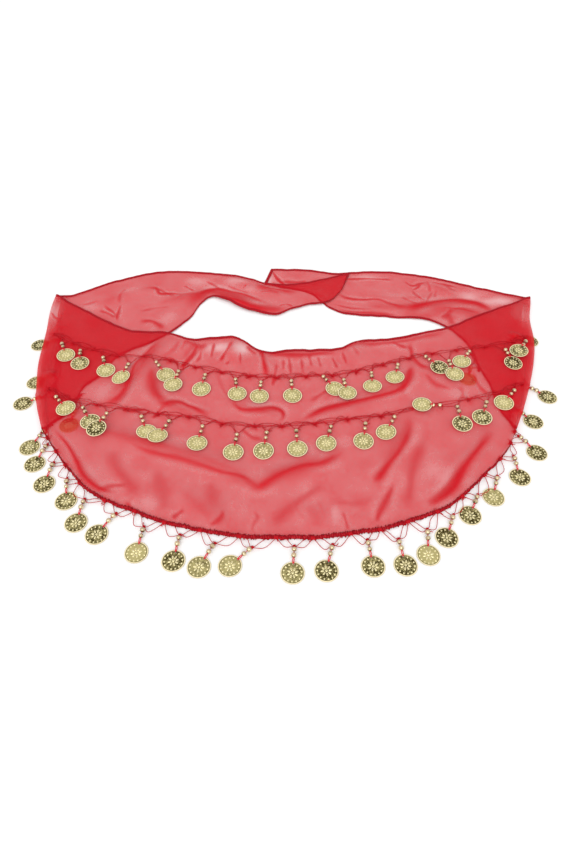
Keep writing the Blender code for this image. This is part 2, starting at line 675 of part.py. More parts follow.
def build():
    """Cloth first, then the coin rows that lie on it, hang from it and lie under it."""
    for old in list(bpy.data.objects):
        bpy.data.objects.remove(old, do_unlink=True)

    chiffon = (0.60, 0.02, 0.03)
    brass = (0.66, 0.55, 0.22)
    grid = front_grid()
    front = cloth_wall("front_panel", grid, make_material("front_chiffon", chiffon, 0.6, 0))
    cloth_wall("left_tie", tie_grid(LEFT_TIE, LEFT_FOLDS, FRONT[0]),
               make_material("left_tie_chiffon", chiffon, 0.6, 0))
    cloth_wall("right_tie", tie_grid(RIGHT_TIE, RIGHT_FOLDS, FRONT[-1]),
               make_material("right_tie_chiffon", chiffon, 0.6, 0))

    surface = surface_of(front)
    hem_points, hem_height = hem_chain(grid)
    coin_row("hem_coins", hem_points, HEM_STRANDS, None,
             make_material("hem_coin_brass", brass, 0.3, 1), hem_height)
    for name, points, strands, below in (
        ("upper_coins", UPPER_CHAIN, UPPER_STRANDS, surface),
        ("middle_coins", MIDDLE_CHAIN, MIDDLE_STRANDS, surface),
        ("left_turned_coins", LEFT_TURNED_CHAIN, LEFT_TURNED_STRANDS, None),
        ("right_turned_coins", RIGHT_TURNED_CHAIN, RIGHT_TURNED_STRANDS, None),
        ("left_hidden_coins", LEFT_HIDDEN_CHAIN, LEFT_HIDDEN_STRANDS, None),
        ("right_hidden_coins", RIGHT_HIDDEN_CHAIN, RIGHT_HIDDEN_STRANDS, None),
    ):
        coin_row(name, points, strands, below, make_material(name + "_brass", brass, 0.3, 1))

    for piece in bpy.context.scene.objects:
        for vertex in piece.data.vertices:
            vertex.co -= Vector((CENTRE_X, CENTRE_Y, 0))


build()
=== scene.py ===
import math
import random
from collections import namedtuple

import bmesh
import bpy
import numpy as np
from mathutils import Matrix, Vector, noise
from mathutils.bvhtree import BVHTree


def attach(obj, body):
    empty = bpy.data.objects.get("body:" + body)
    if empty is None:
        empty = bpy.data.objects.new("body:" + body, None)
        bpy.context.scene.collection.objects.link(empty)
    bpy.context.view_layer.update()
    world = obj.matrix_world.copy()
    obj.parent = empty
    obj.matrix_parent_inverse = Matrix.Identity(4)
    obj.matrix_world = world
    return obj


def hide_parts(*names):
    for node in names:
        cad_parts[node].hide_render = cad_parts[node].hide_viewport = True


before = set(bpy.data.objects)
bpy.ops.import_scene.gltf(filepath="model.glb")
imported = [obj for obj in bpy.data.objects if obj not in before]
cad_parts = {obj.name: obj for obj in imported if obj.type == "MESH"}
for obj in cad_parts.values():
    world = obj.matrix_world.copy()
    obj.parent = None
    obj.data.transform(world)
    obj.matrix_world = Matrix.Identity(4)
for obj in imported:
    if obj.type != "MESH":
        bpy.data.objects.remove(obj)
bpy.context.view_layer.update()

# ---- view, table and light -----------------------------------------------------------------
# The scarf lies on a plain white table and is seen from the side of its coin hem.  An even
# white surround and one wide soft light leave hardly any shadow.

VIEW_PLACE = (-0.0090, -0.4587, 0.449)
VIEW_TILT = math.radians(41.5)
VIEW_LENS = 23.368
FILM_SIZE = 36.0
TABLE_SIZE = 9.0
TABLE_WHITE = (0.93, 0.93, 0.93, 1.0)
TABLE_ROUGHNESS = 0.9
TABLE_DROP = 0.0002
SURROUND = (                # how high, and how bright there
    (0.30, 0.70),           # near the table
    (0.56, 0.92),           # the far wall, which the coins of the rows mirror
    (0.74, 0.92),
    (0.86, 0.54),           # higher up, which the coins of the hem mirror
)
LAMP_TILT = (math.radians(42), math.radians(-12), 0.0)
LAMP_SPREAD = math.radians(64)
LAMP_STRENGTH = 1.76


def feed(tree, node, values):
    """Give each named input of a node a value, or a link from another node's output."""
    for name, value in values.items():
        if isinstance(value, bpy.types.NodeSocket):
            tree.links.new(value, node.inputs[name])
        else:
            node.inputs[name].default_value = value


def add_node(tree, kind, values, **settings):
    """One shader node with its own settings and its inputs."""
    node = tree.nodes.new("ShaderNode" + kind)
    for name, value in settings.items():
        setattr(node, name, value)
    feed(tree, node, values)
    return node


def new_material(name):
    """A material with nodes, its tree and its shader."""
    material = bpy.data.materials.new(name)
    material.use_nodes = True
    return material, material.node_tree, material.node_tree.nodes["Principled BSDF"]


bpy.ops.object.select_all(action="DESELECT")
bpy.ops.object.camera_add(location=VIEW_PLACE, rotation=(VIEW_TILT, 0, 0))
camera = bpy.context.object
camera.name = "view"
camera.data.lens = VIEW_LENS
camera.data.sensor_width = FILM_SIZE
bpy.context.scene.camera = camera

bpy.context.scene.view_settings.view_transform = "Standard"
surround = bpy.data.worlds.new("surround")
bpy.context.scene.world = surround
surround.use_nodes = True
tree = surround.node_tree
heading = add_node(tree, "TexCoord", {})
parts = add_node(tree, "SeparateXYZ", {"Vector": heading.outputs["Generated"]})
brightness = add_node(tree, "ValToRGB", {"Fac": parts.outputs["Z"]})
stops = brightness.color_ramp.elements
for step, (place, grey) in enumerate(SURROUND):
    stop = stops[step] if step < 2 else stops.new(place)
    stop.position = place
    stop.color = (grey, grey, grey, 1)
feed(tree, tree.nodes["Background"], {"Color": brightness.outputs["Color"], "Strength": 1.0})

bpy.ops.mesh.primitive_plane_add(size=TABLE_SIZE, location=(0, 0, -TABLE_DROP))
table = bpy.context.object
table.name = "table"
white, tree, shader = new_material("table_white")
feed(tree, shader, {"Base Color": TABLE_WHITE, "Roughness": TABLE_ROUGHNESS})
table.data.materials.append(white)

bpy.ops.object.light_add(type="SUN", location=(0, 0, 2), rotation=LAMP_TILT)
lamp = bpy.context.object
lamp.name = "soft_lamp"
lamp.data.angle = LAMP_SPREAD
lamp.data.energy = LAMP_STRENGTH

# ---- front of the scarf ----------------------------------------------------------------------
# One layer of sheer red chiffon, the half-moon that lies on top.  Both its ends turn under in
# a soft fold and go on as the ties; its folds and gathers are listed crease by crease.

CENTRE_X = 0.0090           # the tables' own zero is this far from the middle of the scarf
CENTRE_Y = 0.0327
LAYER = 0.001               # the cloth lies in the middle of a wall this thick
FRONT_LIFT = 0.0027         # the front lies this high on the turned-back cloth
LIFT_FULL = 0.040
LIFT_END = 0.085
ROWS = 150                  # steps across the cloth, from its far hem to its near hem
FRONT_STEPS = 19            # steps between two sections of the front
FOLD_STEPS = 5
RIPPLE = 0.0005             # height of the cloth's fine unevenness
RIPPLE_LENGTH = 0.022
CREASE_POINTS = 9
CREASE_TAPER = 0.7          # how slowly a broad fold fades towards its ends
BROAD_SHARE = 0.50          # density and painted shade of the broad soft folds beside those of the sharp creases
STREAK_SHADE = 1.30         # density and painted shade of every sharp crease, beside its table
STREAK_LIMIT = 0.95
STREAK_RISE = 0.30          # height of a sharp crease, as a share of its half width
STREAK_END = 0.25           # share of its length in which a sharp crease fades at each end
STREAK_STEPS = 4
STREAK_REACH = 5            # in half widths: past this a sharp crease does nothing
STREAK_UNEVEN = 0.3         # share by which its width swells and shrinks along it
STREAK_SWELLS = 9           # how often it does so, as a phase
PAINTED_CREASE_HIGHLIGHT = 0.30                 # painted highlight: how much paler the cloth is on either side of a sharp crease
HALO_PLACE = 2.6            # in half widths of the crease
HALO_WIDTH = 1.3
LIGHT_PATCH_EDGE = 1.3            # how sharply a patch of painted light ends
BEAD_COVER = (0.0056, 0.0064)       # height over a bead of the turned-back cloth and the front
BEAD_REACH = 0.0055
EDGE_WAVE = 0.0014          # in and out along every edge
EDGE_WAVE_LENGTH = 0.020
EDGE_WAVE_REACH = 0.010
SMALL_WAVE = (0.6, 0.45)    # height and length of the waves on the waves, as shares of theirs
SIDES_FROM = 0.240          # past here the cloth is settled to the line of its side folds
SIDES_FULL = 0.300
SIDE_SHIFTS = {             # by the side's sign in X: how far in X, at which Y, and how wide
    -1: ((0.0046, 0.125, 0.045), (-0.0030, -0.002, 0.030)),
    1: ((-0.0062, 0.155, 0.036),),
}
FRONT_SEEDS = (3.0, 31.0)   # of its fine unevenness and of the waves of its edges


def table_of(kind, rows, plain=()):
    """Rows of one kind.  All is in millimetres apart from the plain fields."""
    def value(name, number):
        return number if name in plain else number / 1000

    return tuple(kind(*(value(name, number) for name, number in zip(kind._fields, row)))
                 for row in rows)


# A section: where it meets the waist edge and the hem in plan, and how far it bows between.
FrontSection = namedtuple("FrontSection", "waist_x waist_y hem_x hem_y bow")
FRONT = table_of(FrontSection, (
    (-311, 209, -259.5, -35, -14),
    (-289, 193, -241, -60, -10),
    (-257, 171, -217, -89, -6),
    (-226, 150, -188, -117, -3),
    (-191, 132, -148, -135, 0),
    (-153, 131, -117, -148, 0),
    (-119, 117, -90, -156, 0),
    (-92, 121, -68, -160, 0),
    (-61, 123, -45, -164, 0),
    (-28, 96, -20, -166, 0),
    (5, 99, 5, -166, 0),
    (40, 100, 35, -165, 0),
    (67, 102, 60, -162, 0),
    (93, 116, 82, -158, 0),
    (130, 120, 108, -152, 0),
    (171, 129, 137, -141, 0),
    (208, 140, 162, -128, 2),
    (241, 159, 190, -104, 5),
    (280, 178, 218, -77, 8),
    (309, 192, 234, -58, 10),
    (333, 204, 247, -35, 12),
))
# The lifts are how high the far and the near edge of a tie lie.
TieSection = namedtuple("TieSection", "far_x far_y near_x near_y bow far_lift near_lift")
LEFT_TIE = table_of(TieSection, (
    (-288, 212, -238, -8, -9, 1.2, 1.2),
    (-276, 221, -235, 12, -6, 0.8, 1.2),
    (-262, 231, -230, 34, -3, 0.4, 1.2),
    (-246, 242, -214, 54, 0, 0, 1.2),
    (-226, 252, -203, 85, 0, 0, 1.2),
    (-200, 264, -171, 108, 0, 0, 1.2),
    (-172, 270, -145, 131, 0, 0, 1.2),
    (-146, 271, -126, 157, 0, 0, 0.8),
    (-122, 269, -113, 190, 0, 0, 0.2),
    (-98, 265, -100, 206, 0, 0.2, 0),
    (-74, 260, -85, 201, 0, 1, 0.6),
    (-50, 251, -60, 183, 0, 1.8, 1.4),
    (-28, 240, -34, 171, 0, 1.8, 1.4),
    (-5, 236, -12, 167, 0, 1.8, 1.4),
    (18, 238, 8, 178, 0, 1.8, 1.6),
    (40, 244, 32, 189, 0, 1.8, 1.6),
    (64, 253, 53, 193, 0, 1.8, 1.6),
    (83, 260, 66, 203, 0, 1.8, 1.6),
    (92, 263, 79, 224, 0, 1.8, 1.6),
))
RIGHT_TIE = table_of(TieSection, (
    (310, 212, 237, 0, 9, 1.2, 1.2),
    (297, 218, 236, 34, 6, 0.8, 1.2),
    (282, 225, 231, 64, 3, 0.4, 1.2),
    (266, 232, 228, 98, 0, 0, 1.2),
    (249, 239, 219, 123, 0, 0, 1.2),
    (228, 248, 206, 141, 0, 0, 1.2),
    (206, 257, 188, 155, 0, 0, 0.8),
    (182, 263, 168, 160, 0, 0, 0.3),
    (156, 268, 142, 162, 0, 0, 0),
    (128, 270, 118, 165, 0, 0, 0),
    (104, 269, 94, 167, 0, 0, 0),
    (84, 267, 76, 172, 0, 0, 0),
    (66, 266, 60, 182, 0, 0, 0),
    (52, 270, 49, 196, 0, 0, 0),
    (36, 274, 38, 212, 0, 0, 0),
    (18, 276, 20, 223, 0, 0, 0),
    (0, 276, -5, 229, 0, 0, 0),
    (-20, 276, -29, 240, 0, 0, 0),
))
# A station round a side fold: its shares of the way to the tie and to the front, and its height.
FoldStation = namedtuple("FoldStation", "towards_tie towards_front height")
SIDE_FOLD = table_of(FoldStation, (
    (0.38, 0, 1.7), (0.19, 0, 1.7), (0.07, 0, 2.1), (0, 0, 3.3), (0, 0.08, 4.5), (0, 0.3, 5.4),
    (0, 0.62, 4.8),
), plain=("towards_tie", "towards_front"))

# A crease: three points in plan, how high it stands and how wide its foot is, how much denser
# the red is along it, partly gathered cloth and partly painted crease shade, and how wide that
# streak is.
Crease = namedtuple("Crease", "start_x start_y mid_x mid_y end_x end_y height width shade core")
FRONT_CREASES = table_of(Crease, (
    (-223, -33, -131, -57, -28, -100, 4.5, 13, 0.75, 5),
    (-30, -101, 6, -88, 56, -68, 4.2, 13, 0.8, 6),
    (153, 92, 126, 30, 15, -16, 3.4, 12, 0.55, 5.5),
    (-143, 122, -174, 55, -206, 1, 3.6, 12, 0.75, 4.5),
    (-163, 67, -140, 10, -79, -8, 2.2, 11, 0.45, 6),
    (138, -10, 115, -58, 91, -103, 3.4, 12, 0.75, 5),
    (218, -35, 200, -63, 162, -108, 2.6, 11, 0.65, 6),
    (-27, 94, -24, 75, -21, 52, 3.6, 10, 0.8, 2.2),
    (-63, 7, -35, -3, -1, -11, 2.4, 12, 0.6, 4.5),
    (-110, 112, -118, 92, -126, 74, 2.6, 10, 0.7, 3),
    (-66, 118, -62, 95, -56, 66, 4.4, 12, 0.1, 10),
    (94, 116, 90, 95, 84, 70, 3.6, 11, 0.15, 8),
    (-104, -110, -86, -128, -64, -150, 2, 12, 0.35, 5),
    (20, -126, 28, -142, 34, -158, 1.8, 12, 0.25, 5),
), plain=("shade",))

# A patch of painted light: how much paler the cloth is painted, for highlights and for light
# under cloth lifted off the table, where, and how far that reaches.
LightPatch = namedtuple("LightPatch", "amount x y half_x half_y")
FRONT_PAINTED_LIGHT = table_of(LightPatch, (
    (0.8, -79, 103, 9, 9), (0.9, -55, 99, 10, 13), (0.4, -94, 102, 5, 8), (0.85, -304, 175, 9, 20),
    (0.5, -301, 147, 5, 19), (0.75, 314, 173, 11, 22), (0.35, 89, 105, 10, 6),
    (0.3, -206, 25, 10, 15), (0.28, -30, 3, 16, 6), (0.25, -60, -130, 9, 14),
    (0.25, -130, -124, 10, 9), (0.2, 16, -59, 15, 10), (0.2, -111, -48, 17, 8),
    (0.3, 197, 20, 14, 8), (0.22, 156, -88, 12, 13), (0.25, 63, -48, 13, 8),
    (0.35, 48, -139, 4, 11),
), plain=("amount",))

# Beads of the drops that lie under the cloth.
Point = namedtuple("Point", "x y")
BEADS_BELOW = table_of(Point, (
    (-287, 114), (-292, 112), (-274, 51), (-278, 48), (-277, 14), (-282, 12), (259, -7), (262, -10),
    (283, 29), (287, 26), (289, 123), (294, 121), (-232, -7), (-233, -12), (220, 64), (219, 59),
))

# A streak: how much denser the red is along a sharp crease, partly gathered cloth and partly
# painted crease shade, half its width, and its line in plan.
Streak = namedtuple("Streak", "shade core line")


def streaks_of(rows):
    """Streaks from rows of density, half width, and x and y of each point of the line in turn."""
    return tuple(Streak(row[0], row[1] / 1000, np.array(row[2:]).reshape(-1, 2) / 1000)
                 for row in rows)


FRONT_STREAKS = streaks_of((
    (0.95, 2.6, -149, 120, -158, 106, -170, 81, -178, 65, -179, 42, -185, 17, -195, 5, -208, 0),
    (0.5, 1.3, -157, 96, -165, 78, -172, 67),
    (0.45, 4.5, -157, 65, -156, 47, -147, 22, -135, 10),
    (0.65, 2.6, -145, 11, -135, 5, -128, 7, -118, 8, -107, 2, -94, -5, -79, -17),
    (0.55, 1.3, -145, 81, -136, 81, -125, 65),
    (0.65, 1.5, -106, 109, -113, 89, -120, 73, -122, 57),
    (0.6, 2, -174, -7, -166, -4, -154, -2),
    (0.5, 1.5, -148, -15, -142, -11, -138, -3, -134, 3),
    (0.5, 1.3, -309, 170, -300, 157, -291, 151),
    (0.45, 1.3, -297, 133, -290, 140, -279, 137),
    (0.5, 2.2, -168, -48, -151, -60, -129, -68, -110, -73, -91, -80, -65, -90, -45, -95, -35,
     -101, -26, -108),
    (0.56, 2.6, -35, -102, -26, -108, -17, -103, -5, -95, 15, -85, 36, -80, 50, -71, 62, -61),
    (0.24, 5.5, -65, -91, -45, -97, -27, -108, -5, -97, 15, -87, 41, -80),
    (0.68, 2.4, -62, 16, -53, 0, -43, -5, -29, -4, -15, -1, -4, -5, -2, -14, -8, -24),
    (0.72, 2.6, 16, -21, 26, -14, 41, -4, 58, 2, 76, 7, 104, 15, 127, 24, 139, 37, 145, 48),
    (0.62, 2.8, 139, -15, 130, -42, 118, -64, 105, -81, 94, -96, 88, -103),
    (0.66, 3.2, 223, -35, 208, -53, 196, -67, 178, -89, 167, -107, 151, -121, 140, -128),
    (0.45, 2.6, 109, -101, 99, -121, 89, -139, 86, -148),
    (0.26, 5, 152, -38, 133, -76, 123, -108, 117, -132),
    (0.34, 3, 182, -86, 155, -112, 137, -131),
    (0.68, 2, -250, -31, -239, -43, -226, -57, -213, -76, -201, -95, -185, -109, -173, -113, -163,
     -112),
    (0.48, 1.8, -185, -114, -172, -107, -156, -105),
    (0.42, 1.8, -153, -125, -146, -134),
    (0.5, 1.8, -96, -134, -102, -139, -107, -144),
    (0.45, 2, -59, -133, -60, -142, -65, -148, -71, -152),
    (0.22, 1.5, -30, -134, -26, -143, -30, -151, -30, -160),
    (0.32, 1.1, 55, -136, 57, -146, 59, -157),
    (0.22, 4.5, 42, -105, 30, -111, 14, -124, 3, -134, -7, -145, -10, -158),
    (0.22, 8, -130, -84, -122, -112, -113, -137),
    (0.12, 3.5, 94, -117, 74, -126, 58, -126, 43, -124),
    (0.1, 1.2, 15, -121, 11, -129, 14, -139, 20, -146),
    (0.2, 8, -78, -100, -69, -120, -53, -155),
    (0.1, 1.2, 32, -122, 35, -132, 38, -146),
    (0.24, 6, -184, -62, -168, -88, -140, -120),
    (0.72, 1.6, -108, 99, -113, 83, -120, 73, -127, 66),
    (0.5, 1.2, -103, 97, -104, 83, -108, 75),
    (0.62, 1.1, -88, 112, -89, 99, -90, 83),
    (0.82, 1.5, -65, 114, -69, 101, -75, 87, -78, 76),
    (0.7, 1.1, -66, 77, -71, 71),
    (0.6, 1, -54, 91, -54, 69),
    (0.45, 2, -47, 106, -43, 98, -34, 89),
    (0.8, 1.8, -31, 98, -28, 87, -25, 69, -21, 50),
    (0.42, 3.2, -127, 115, -115, 107, -105, 103, -96, 110),
    (0.5, 3.4, -28, 87, -6, 90, 18, 89, 43, 92, 65, 93),
    (0.38, 2.6, 67, 95, 83, 106, 108, 109, 143, 114, 183, 123, 210, 133),
    (0.5, 1.2, -10, 74, -12, 51, -15, 34),
    (0.42, 1.3, 5, 87, 7, 53),
    (0.42, 1.3, 20, 84, 21, 55),
    (0.4, 1.3, 29, 91, 32, 67),
    (0.42, 1.3, 57, 85, 63, 64),
    (0.4, 1.3, 70, 96, 74, 71),
    (0.36, 1.3, -2, 82, -2, 62),
    (0.36, 1.3, 40, 87, 43, 66),
    (0.36, 1.4, 83, 104, 90, 84),
    (0.45, 1.4, -131, 115, -137, 96, -151, 80),
    (0.45, 1.3, -122, 114, -128, 96),
    (0.6, 2, 153, 110, 155, 98, 155, 83, 163, 67, 177, 64),
    (0.45, 2, 133, 114, 144, 106, 152, 101),
    (0.58, 3, 150, 67, 146, 52, 140, 36, 130, 22),
    (0.38, 2, 200, 32, 202, 21, 198, 9),
    (0.55, 1.7, 221, 57, 222, 38, 226, 25, 232, 17),
    (0.34, 2.6, 165, 57, 174, 37, 191, 28),
    (0.15, 2, -83, 59, -73, 35, -65, 17),
    (0.34, 2, 58, 37, 42, 22, 27, 9),
    (0.34, 2.2, -48, -30, -35, -43, -24, -45),
))


def on_curve(a, b, c, d, part):
    """Value at a part of the way from b to c, on one smooth curve through all four."""
    bend = 2 * a - 5 * b + 4 * c - d + part * (3 * (b - c) + d - a)
    return b + 0.5 * part * (c - a + part * bend)


def curve_between(stations, steps):
    """Smooth curve through points or columns, from the second one to the last but one."""
    curve = []
    for a, b, c, d in zip(stations, stations[1:], stations[2:], stations[3:]):
        curve += [on_curve(a, b, c, d, step / steps) for step in range(steps)]
    return curve + [stations[-2]]


def smooth_row(rows, place):
    """Row of a table at a fractional place, on one smooth curve through all its rows."""
    index = min(int(place), len(rows) - 2)
    before, start = rows[max(index - 1, 0)], rows[index]
    end, after = rows[index + 1], rows[min(index + 2, len(rows) - 1)]
    return type(start)(*(on_curve(a, b, c, d, place - index)
                         for a, b, c, d in zip(before, start, end, after)))


def ease(value, low, high):
    """0 below low, 1 above high, and a smooth rise between them, for arrays."""
    part = np.clip((value - low) / (high - low), 0.0, 1.0)
    return part * part * (3 - 2 * part)


def hump(distance, width):
    """1 on a line or a spot, and a smooth fall to 0 within about twice the width."""
    return np.exp(-(distance / width) ** 2)


def nearest_on_line(curve, x, y):
    """Distance in plan from each point to a line, and the share of the line's length there."""
    nearest = np.full_like(x, 1.0)
    along = np.zeros_like(x)
    for index, (start, end) in enumerate(zip(curve, curve[1:])):
        run = end - start
        part = ((x - start[0]) * run[0] + (y - start[1]) * run[1]) / (run @ run)
        part = np.clip(part, 0.0, 1.0)
        distance = np.hypot(x - start[0] - run[0] * part, y - start[1] - run[1] * part)
        closer = distance < nearest
        nearest = np.where(closer, distance, nearest)
        along = np.where(closer, (index + part) / (len(curve) - 1), along)
    return nearest, along


def crease_fields(creases, x, y):
    """Height and density of red, partly painted crease shade, that a set of creases gives in plan.
    """
    height = np.zeros_like(x)
    clear = np.ones_like(x)
    for crease in creases:
        start, middle, end = [np.array(crease[k:k + 2]) for k in (0, 2, 4)]
        pull = 2 * middle - 0.5 * (start + end)
        curve = [start * (1 - t) ** 2 + pull * 2 * t * (1 - t) + end * t * t
                 for t in np.linspace(0, 1, CREASE_POINTS)]
        nearest, along = nearest_on_line(curve, x, y)
        taper = np.sin(math.pi * np.clip(along, 0.03, 0.97)) ** CREASE_TAPER
        height += crease.height * taper * hump(nearest, crease.width)
        clear *= 1 - crease.shade * taper * hump(nearest, crease.core)
    return height, 1 - clear


def streak_fields(streaks, light_patches, x, y):
    """Density of red with painted crease shade, painted light and height that sharp creases and
    patches of painted light give.
    """
    clear = np.ones_like(x)
    painted_light = np.zeros_like(x)
    height = np.zeros_like(x)
    for number, streak in enumerate(streaks):
        line = streak.line
        curve = np.array(curve_between([line[0], *line, line[-1]], STREAK_STEPS))
        low = curve.min(axis=0) - STREAK_REACH * streak.core
        high = curve.max(axis=0) + STREAK_REACH * streak.core
        near = np.nonzero((x > low[0]) & (x < high[0]) & (y > low[1]) & (y < high[1]))
        nearest, along = nearest_on_line(curve, x[near], y[near])
        taper = ease(along, 0.0, STREAK_END) * ease(1 - along, 0.0, STREAK_END)
        swell = np.sin(STREAK_SWELLS * along + 1.7 * number)
        wide = streak.core * (1.0 + STREAK_UNEVEN * swell)
        shade = min(STREAK_SHADE * streak.shade, STREAK_LIMIT)
        clear[near] *= 1 - shade * taper * hump(nearest, wide)
        # Painted highlight: paler cloth on either side of each sharp crease.
        crease_highlight = hump(nearest - HALO_PLACE * wide, HALO_WIDTH * wide)
        painted_light[near] += PAINTED_CREASE_HIGHLIGHT * streak.shade * taper * crease_highlight
        height[near] += STREAK_RISE * streak.shade * wide * taper * hump(nearest, wide)
    # Patches of painted light, for highlights and for light under lifted cloth.
    for light_patch in light_patches:
        off = ((x - light_patch.x) / light_patch.half_x) ** 2 + ((y - light_patch.y) / light_patch.half_y) ** 2
        painted_light += light_patch.amount * np.exp(-off ** LIGHT_PATCH_EDGE)
    return 1 - clear, painted_light, height


def settle_sides(columns):
    """Move the cloth of the two sides a little, to the uneven line of their folds."""
    x, y = columns[..., 0], columns[..., 1]
    for side, shifts in SIDE_SHIFTS.items():
        share = ease(side * x, SIDES_FROM, SIDES_FULL)
        x += share * sum(shift * hump(y - place, width) for shift, place, width in shifts)


def lift_over_beads(columns, top):
    """Raise the cloth to a height where it lies over the beads of turned and hidden drops."""
    for spot in BEADS_BELOW:
        off = (columns[..., 0] - spot.x) ** 2 + (columns[..., 1] - spot.y) ** 2
        columns[..., 2] += np.maximum(top - columns[..., 2], 0.0) * np.exp(-off / BEAD_REACH ** 2)


def unevenness(x, y, length, seed):
    """Soft noise between -1 and 1 at each point in plan."""
    values = [noise.noise(Vector((a / length, b / length, seed))) for a, b in zip(x.flat, y.flat)]
    return np.array(values).reshape(x.shape)


def wave_edges(columns, seed):
    """Give both long edges of a cloth the small waves that an overlocked edge has."""
    across = columns[:, -1] - columns[:, 0]
    across[:, 2] = 0.0
    width = np.linalg.norm(across, axis=1)
    across /= width[:, None]
    for edge in (0, -1):
        x, y = columns[:, edge, 0].copy(), columns[:, edge, 1].copy()
        small = unevenness(x, y, SMALL_WAVE[1] * EDGE_WAVE_LENGTH, seed + edge)
        wave = EDGE_WAVE * (unevenness(x, y, EDGE_WAVE_LENGTH, seed + edge)
                            + SMALL_WAVE[0] * small)
        depth = np.linspace(0.0, 1.0, columns.shape[1])[::1 if edge == 0 else -1]
        fade = np.exp(-depth[None, :] * width[:, None] / EDGE_WAVE_REACH)
        columns[..., :2] += (wave[:, None] * fade)[..., None] * across[:, None, :2]


def section_points(section):
    """Points across a section, from its far hem to its near hem."""
    across = np.linspace(0.0, 1.0, ROWS + 1)
    lean = section[4] * 4 * across * (1 - across)
    x = section[0] + (section[2] - section[0]) * across + lean
    y = section[1] + (section[3] - section[1]) * across
    return np.stack([x, y, np.zeros(ROWS + 1)], axis=1)


def near_edge_x(tie, y):
    """X of the turned-back part of a tie's near edge at each Y."""
    rows = tie[0:7]
    return np.interp(y, [row.near_y for row in rows], [row.near_x for row in rows])


def raised(column):
    """A column of the front at its height: up on the turned-back cloth, with its creases."""
    x, y = column[:, 0], column[:, 1]
    past = np.minimum(x - near_edge_x(LEFT_TIE, y), near_edge_x(RIGHT_TIE, y) - x)
    base = LAYER / 2 + FRONT_LIFT * (1 - ease(past, LIFT_FULL, LIFT_END))
    column[:, 2] = base + crease_fields(FRONT_CREASES, x, y)[0]
    return column


def side_fold(rows, tie):
    """Columns round a side fold, from the tie's root over the fold to the front's next section."""
    starts = section_points(rows[0])
    tops = raised(section_points(rows[1]))
    beyond = raised(section_points(rows[2]))
    unders = section_points(tie[0])
    unders[:, 2] = SIDE_FOLD[0].height
    stations = [unders]
    for station in SIDE_FOLD:
        plan = starts + (tops - starts) * station.towards_front
        plan += (unders - starts) * station.towards_tie
        plan[:, 2] = station.height
        stations.append(plan)
    return curve_between(stations + [tops, beyond], FOLD_STEPS)


def object_of(name, mesh, material):
    """One object of a mesh and its material."""
    data = bpy.data.meshes.new(name)
    mesh.to_mesh(data)
    mesh.free()
    data.materials.append(material)
    piece = bpy.data.objects.new(name, data)
    bpy.context.scene.collection.objects.link(piece)
    return piece


def flat_cut(columns):
    """Place of each point on the flat cut, in metres: along the cloth and across it."""
    middle = len(columns[0]) // 2
    along = 0.0
    flat = []
    for index, column in enumerate(columns):
        if index:
            along += float(np.linalg.norm(column[middle] - columns[index - 1][middle]))
        steps = np.linalg.norm(np.diff(column, axis=0), axis=1)
        across = np.concatenate([[0.0], np.cumsum(steps)])
        flat.append([(along, float(value)) for value in across])
    return flat


def cloth_piece(name, columns, shade, painted_light, material):
    """One layer of cloth through columns of points, with its density and painted shade, its painted
    light and its flat cut as a map.
    """
    mesh = bmesh.new()
    shade_layer = mesh.verts.layers.float.new("gather_and_shade")
    painted_light_layer = mesh.verts.layers.float.new("painted_light")
    grid = []
    for column, shades, painted_lights in zip(columns, shade, painted_light):
        line = []
        for point, dense_and_shaded, painted_lightness in zip(column, shades, painted_lights):
            vertex = mesh.verts.new((point[0] - CENTRE_X, point[1] - CENTRE_Y, point[2]))
            vertex[shade_layer] = dense_and_shaded
            vertex[painted_light_layer] = painted_lightness
            line.append(vertex)
        grid.append(line)
    cut = mesh.loops.layers.uv.new("cut")
    flat = flat_cut(columns)
    for i in range(len(grid) - 1):
        for j in range(len(grid[0]) - 1):
            places = ((i, j), (i, j + 1), (i + 1, j + 1), (i + 1, j))
            face = mesh.faces.new([grid[a][b] for a, b in places])
            face.smooth = True
            for loop, (a, b) in zip(face.loops, places):
                loop[cut].uv = flat[a][b]
    return object_of(name, mesh, material)


WEAVE_SCALE = 900.0
CREPE_SCALE = 420.0         # of its fine grain, its crinkles and its broad uneven density
CRINKLE_SCALE = 230.0
DRIFT_SCALE = 34.0
CLOTH_RELIEF = (0.12, 0.0002)
LEAST_COVER = 0.52          # how much of the light one layer stops where it is thinnest
WEAVE_SHARE = 0.04          # and how much more its weave, its crinkles and its drift stop
CRINKLE_SHARE = 0.12
DRIFT_SHARE = 0.07
# How much paler painted light makes the cloth.
PAINTED_LIGHT_SHARE = 0.36
# Where the cloth is gathered and where crease shade is painted, it stops more light and is a deeper
# red.
GATHER_AND_SHADE_COVER = 0.93
SMOOTH_RED = (0.705, 0.005, 0.015, 1)
GATHERED_AND_SHADED_RED = (0.56, 0.003, 0.010, 1)


def math_of(tree, operation, *values, clamp=False):
    """Result of a sum on values or outputs."""
    return add_node(tree, "Math", dict(enumerate(values)), operation=operation,
                    use_clamp=clamp).outputs[0]


def noise_of(tree, vector, scale, detail=2.0, roughness=0.5):
    """Soft noise of one scale."""
    return add_node(tree, "TexNoise", {"Vector": vector, "Scale": scale, "Detail": detail,
                                       "Roughness": roughness}).outputs["Fac"]


def attribute_of(tree, name):
    """A value that the mesh carries point by point."""
    return add_node(tree, "Attribute", {}, attribute_name=name).outputs["Fac"]


def relief_of(tree, height, strength, distance):
    """Normal of a surface with a fine relief."""
    return add_node(tree, "Bump", {"Height": height, "Strength": strength,
                                   "Distance": distance}).outputs["Normal"]


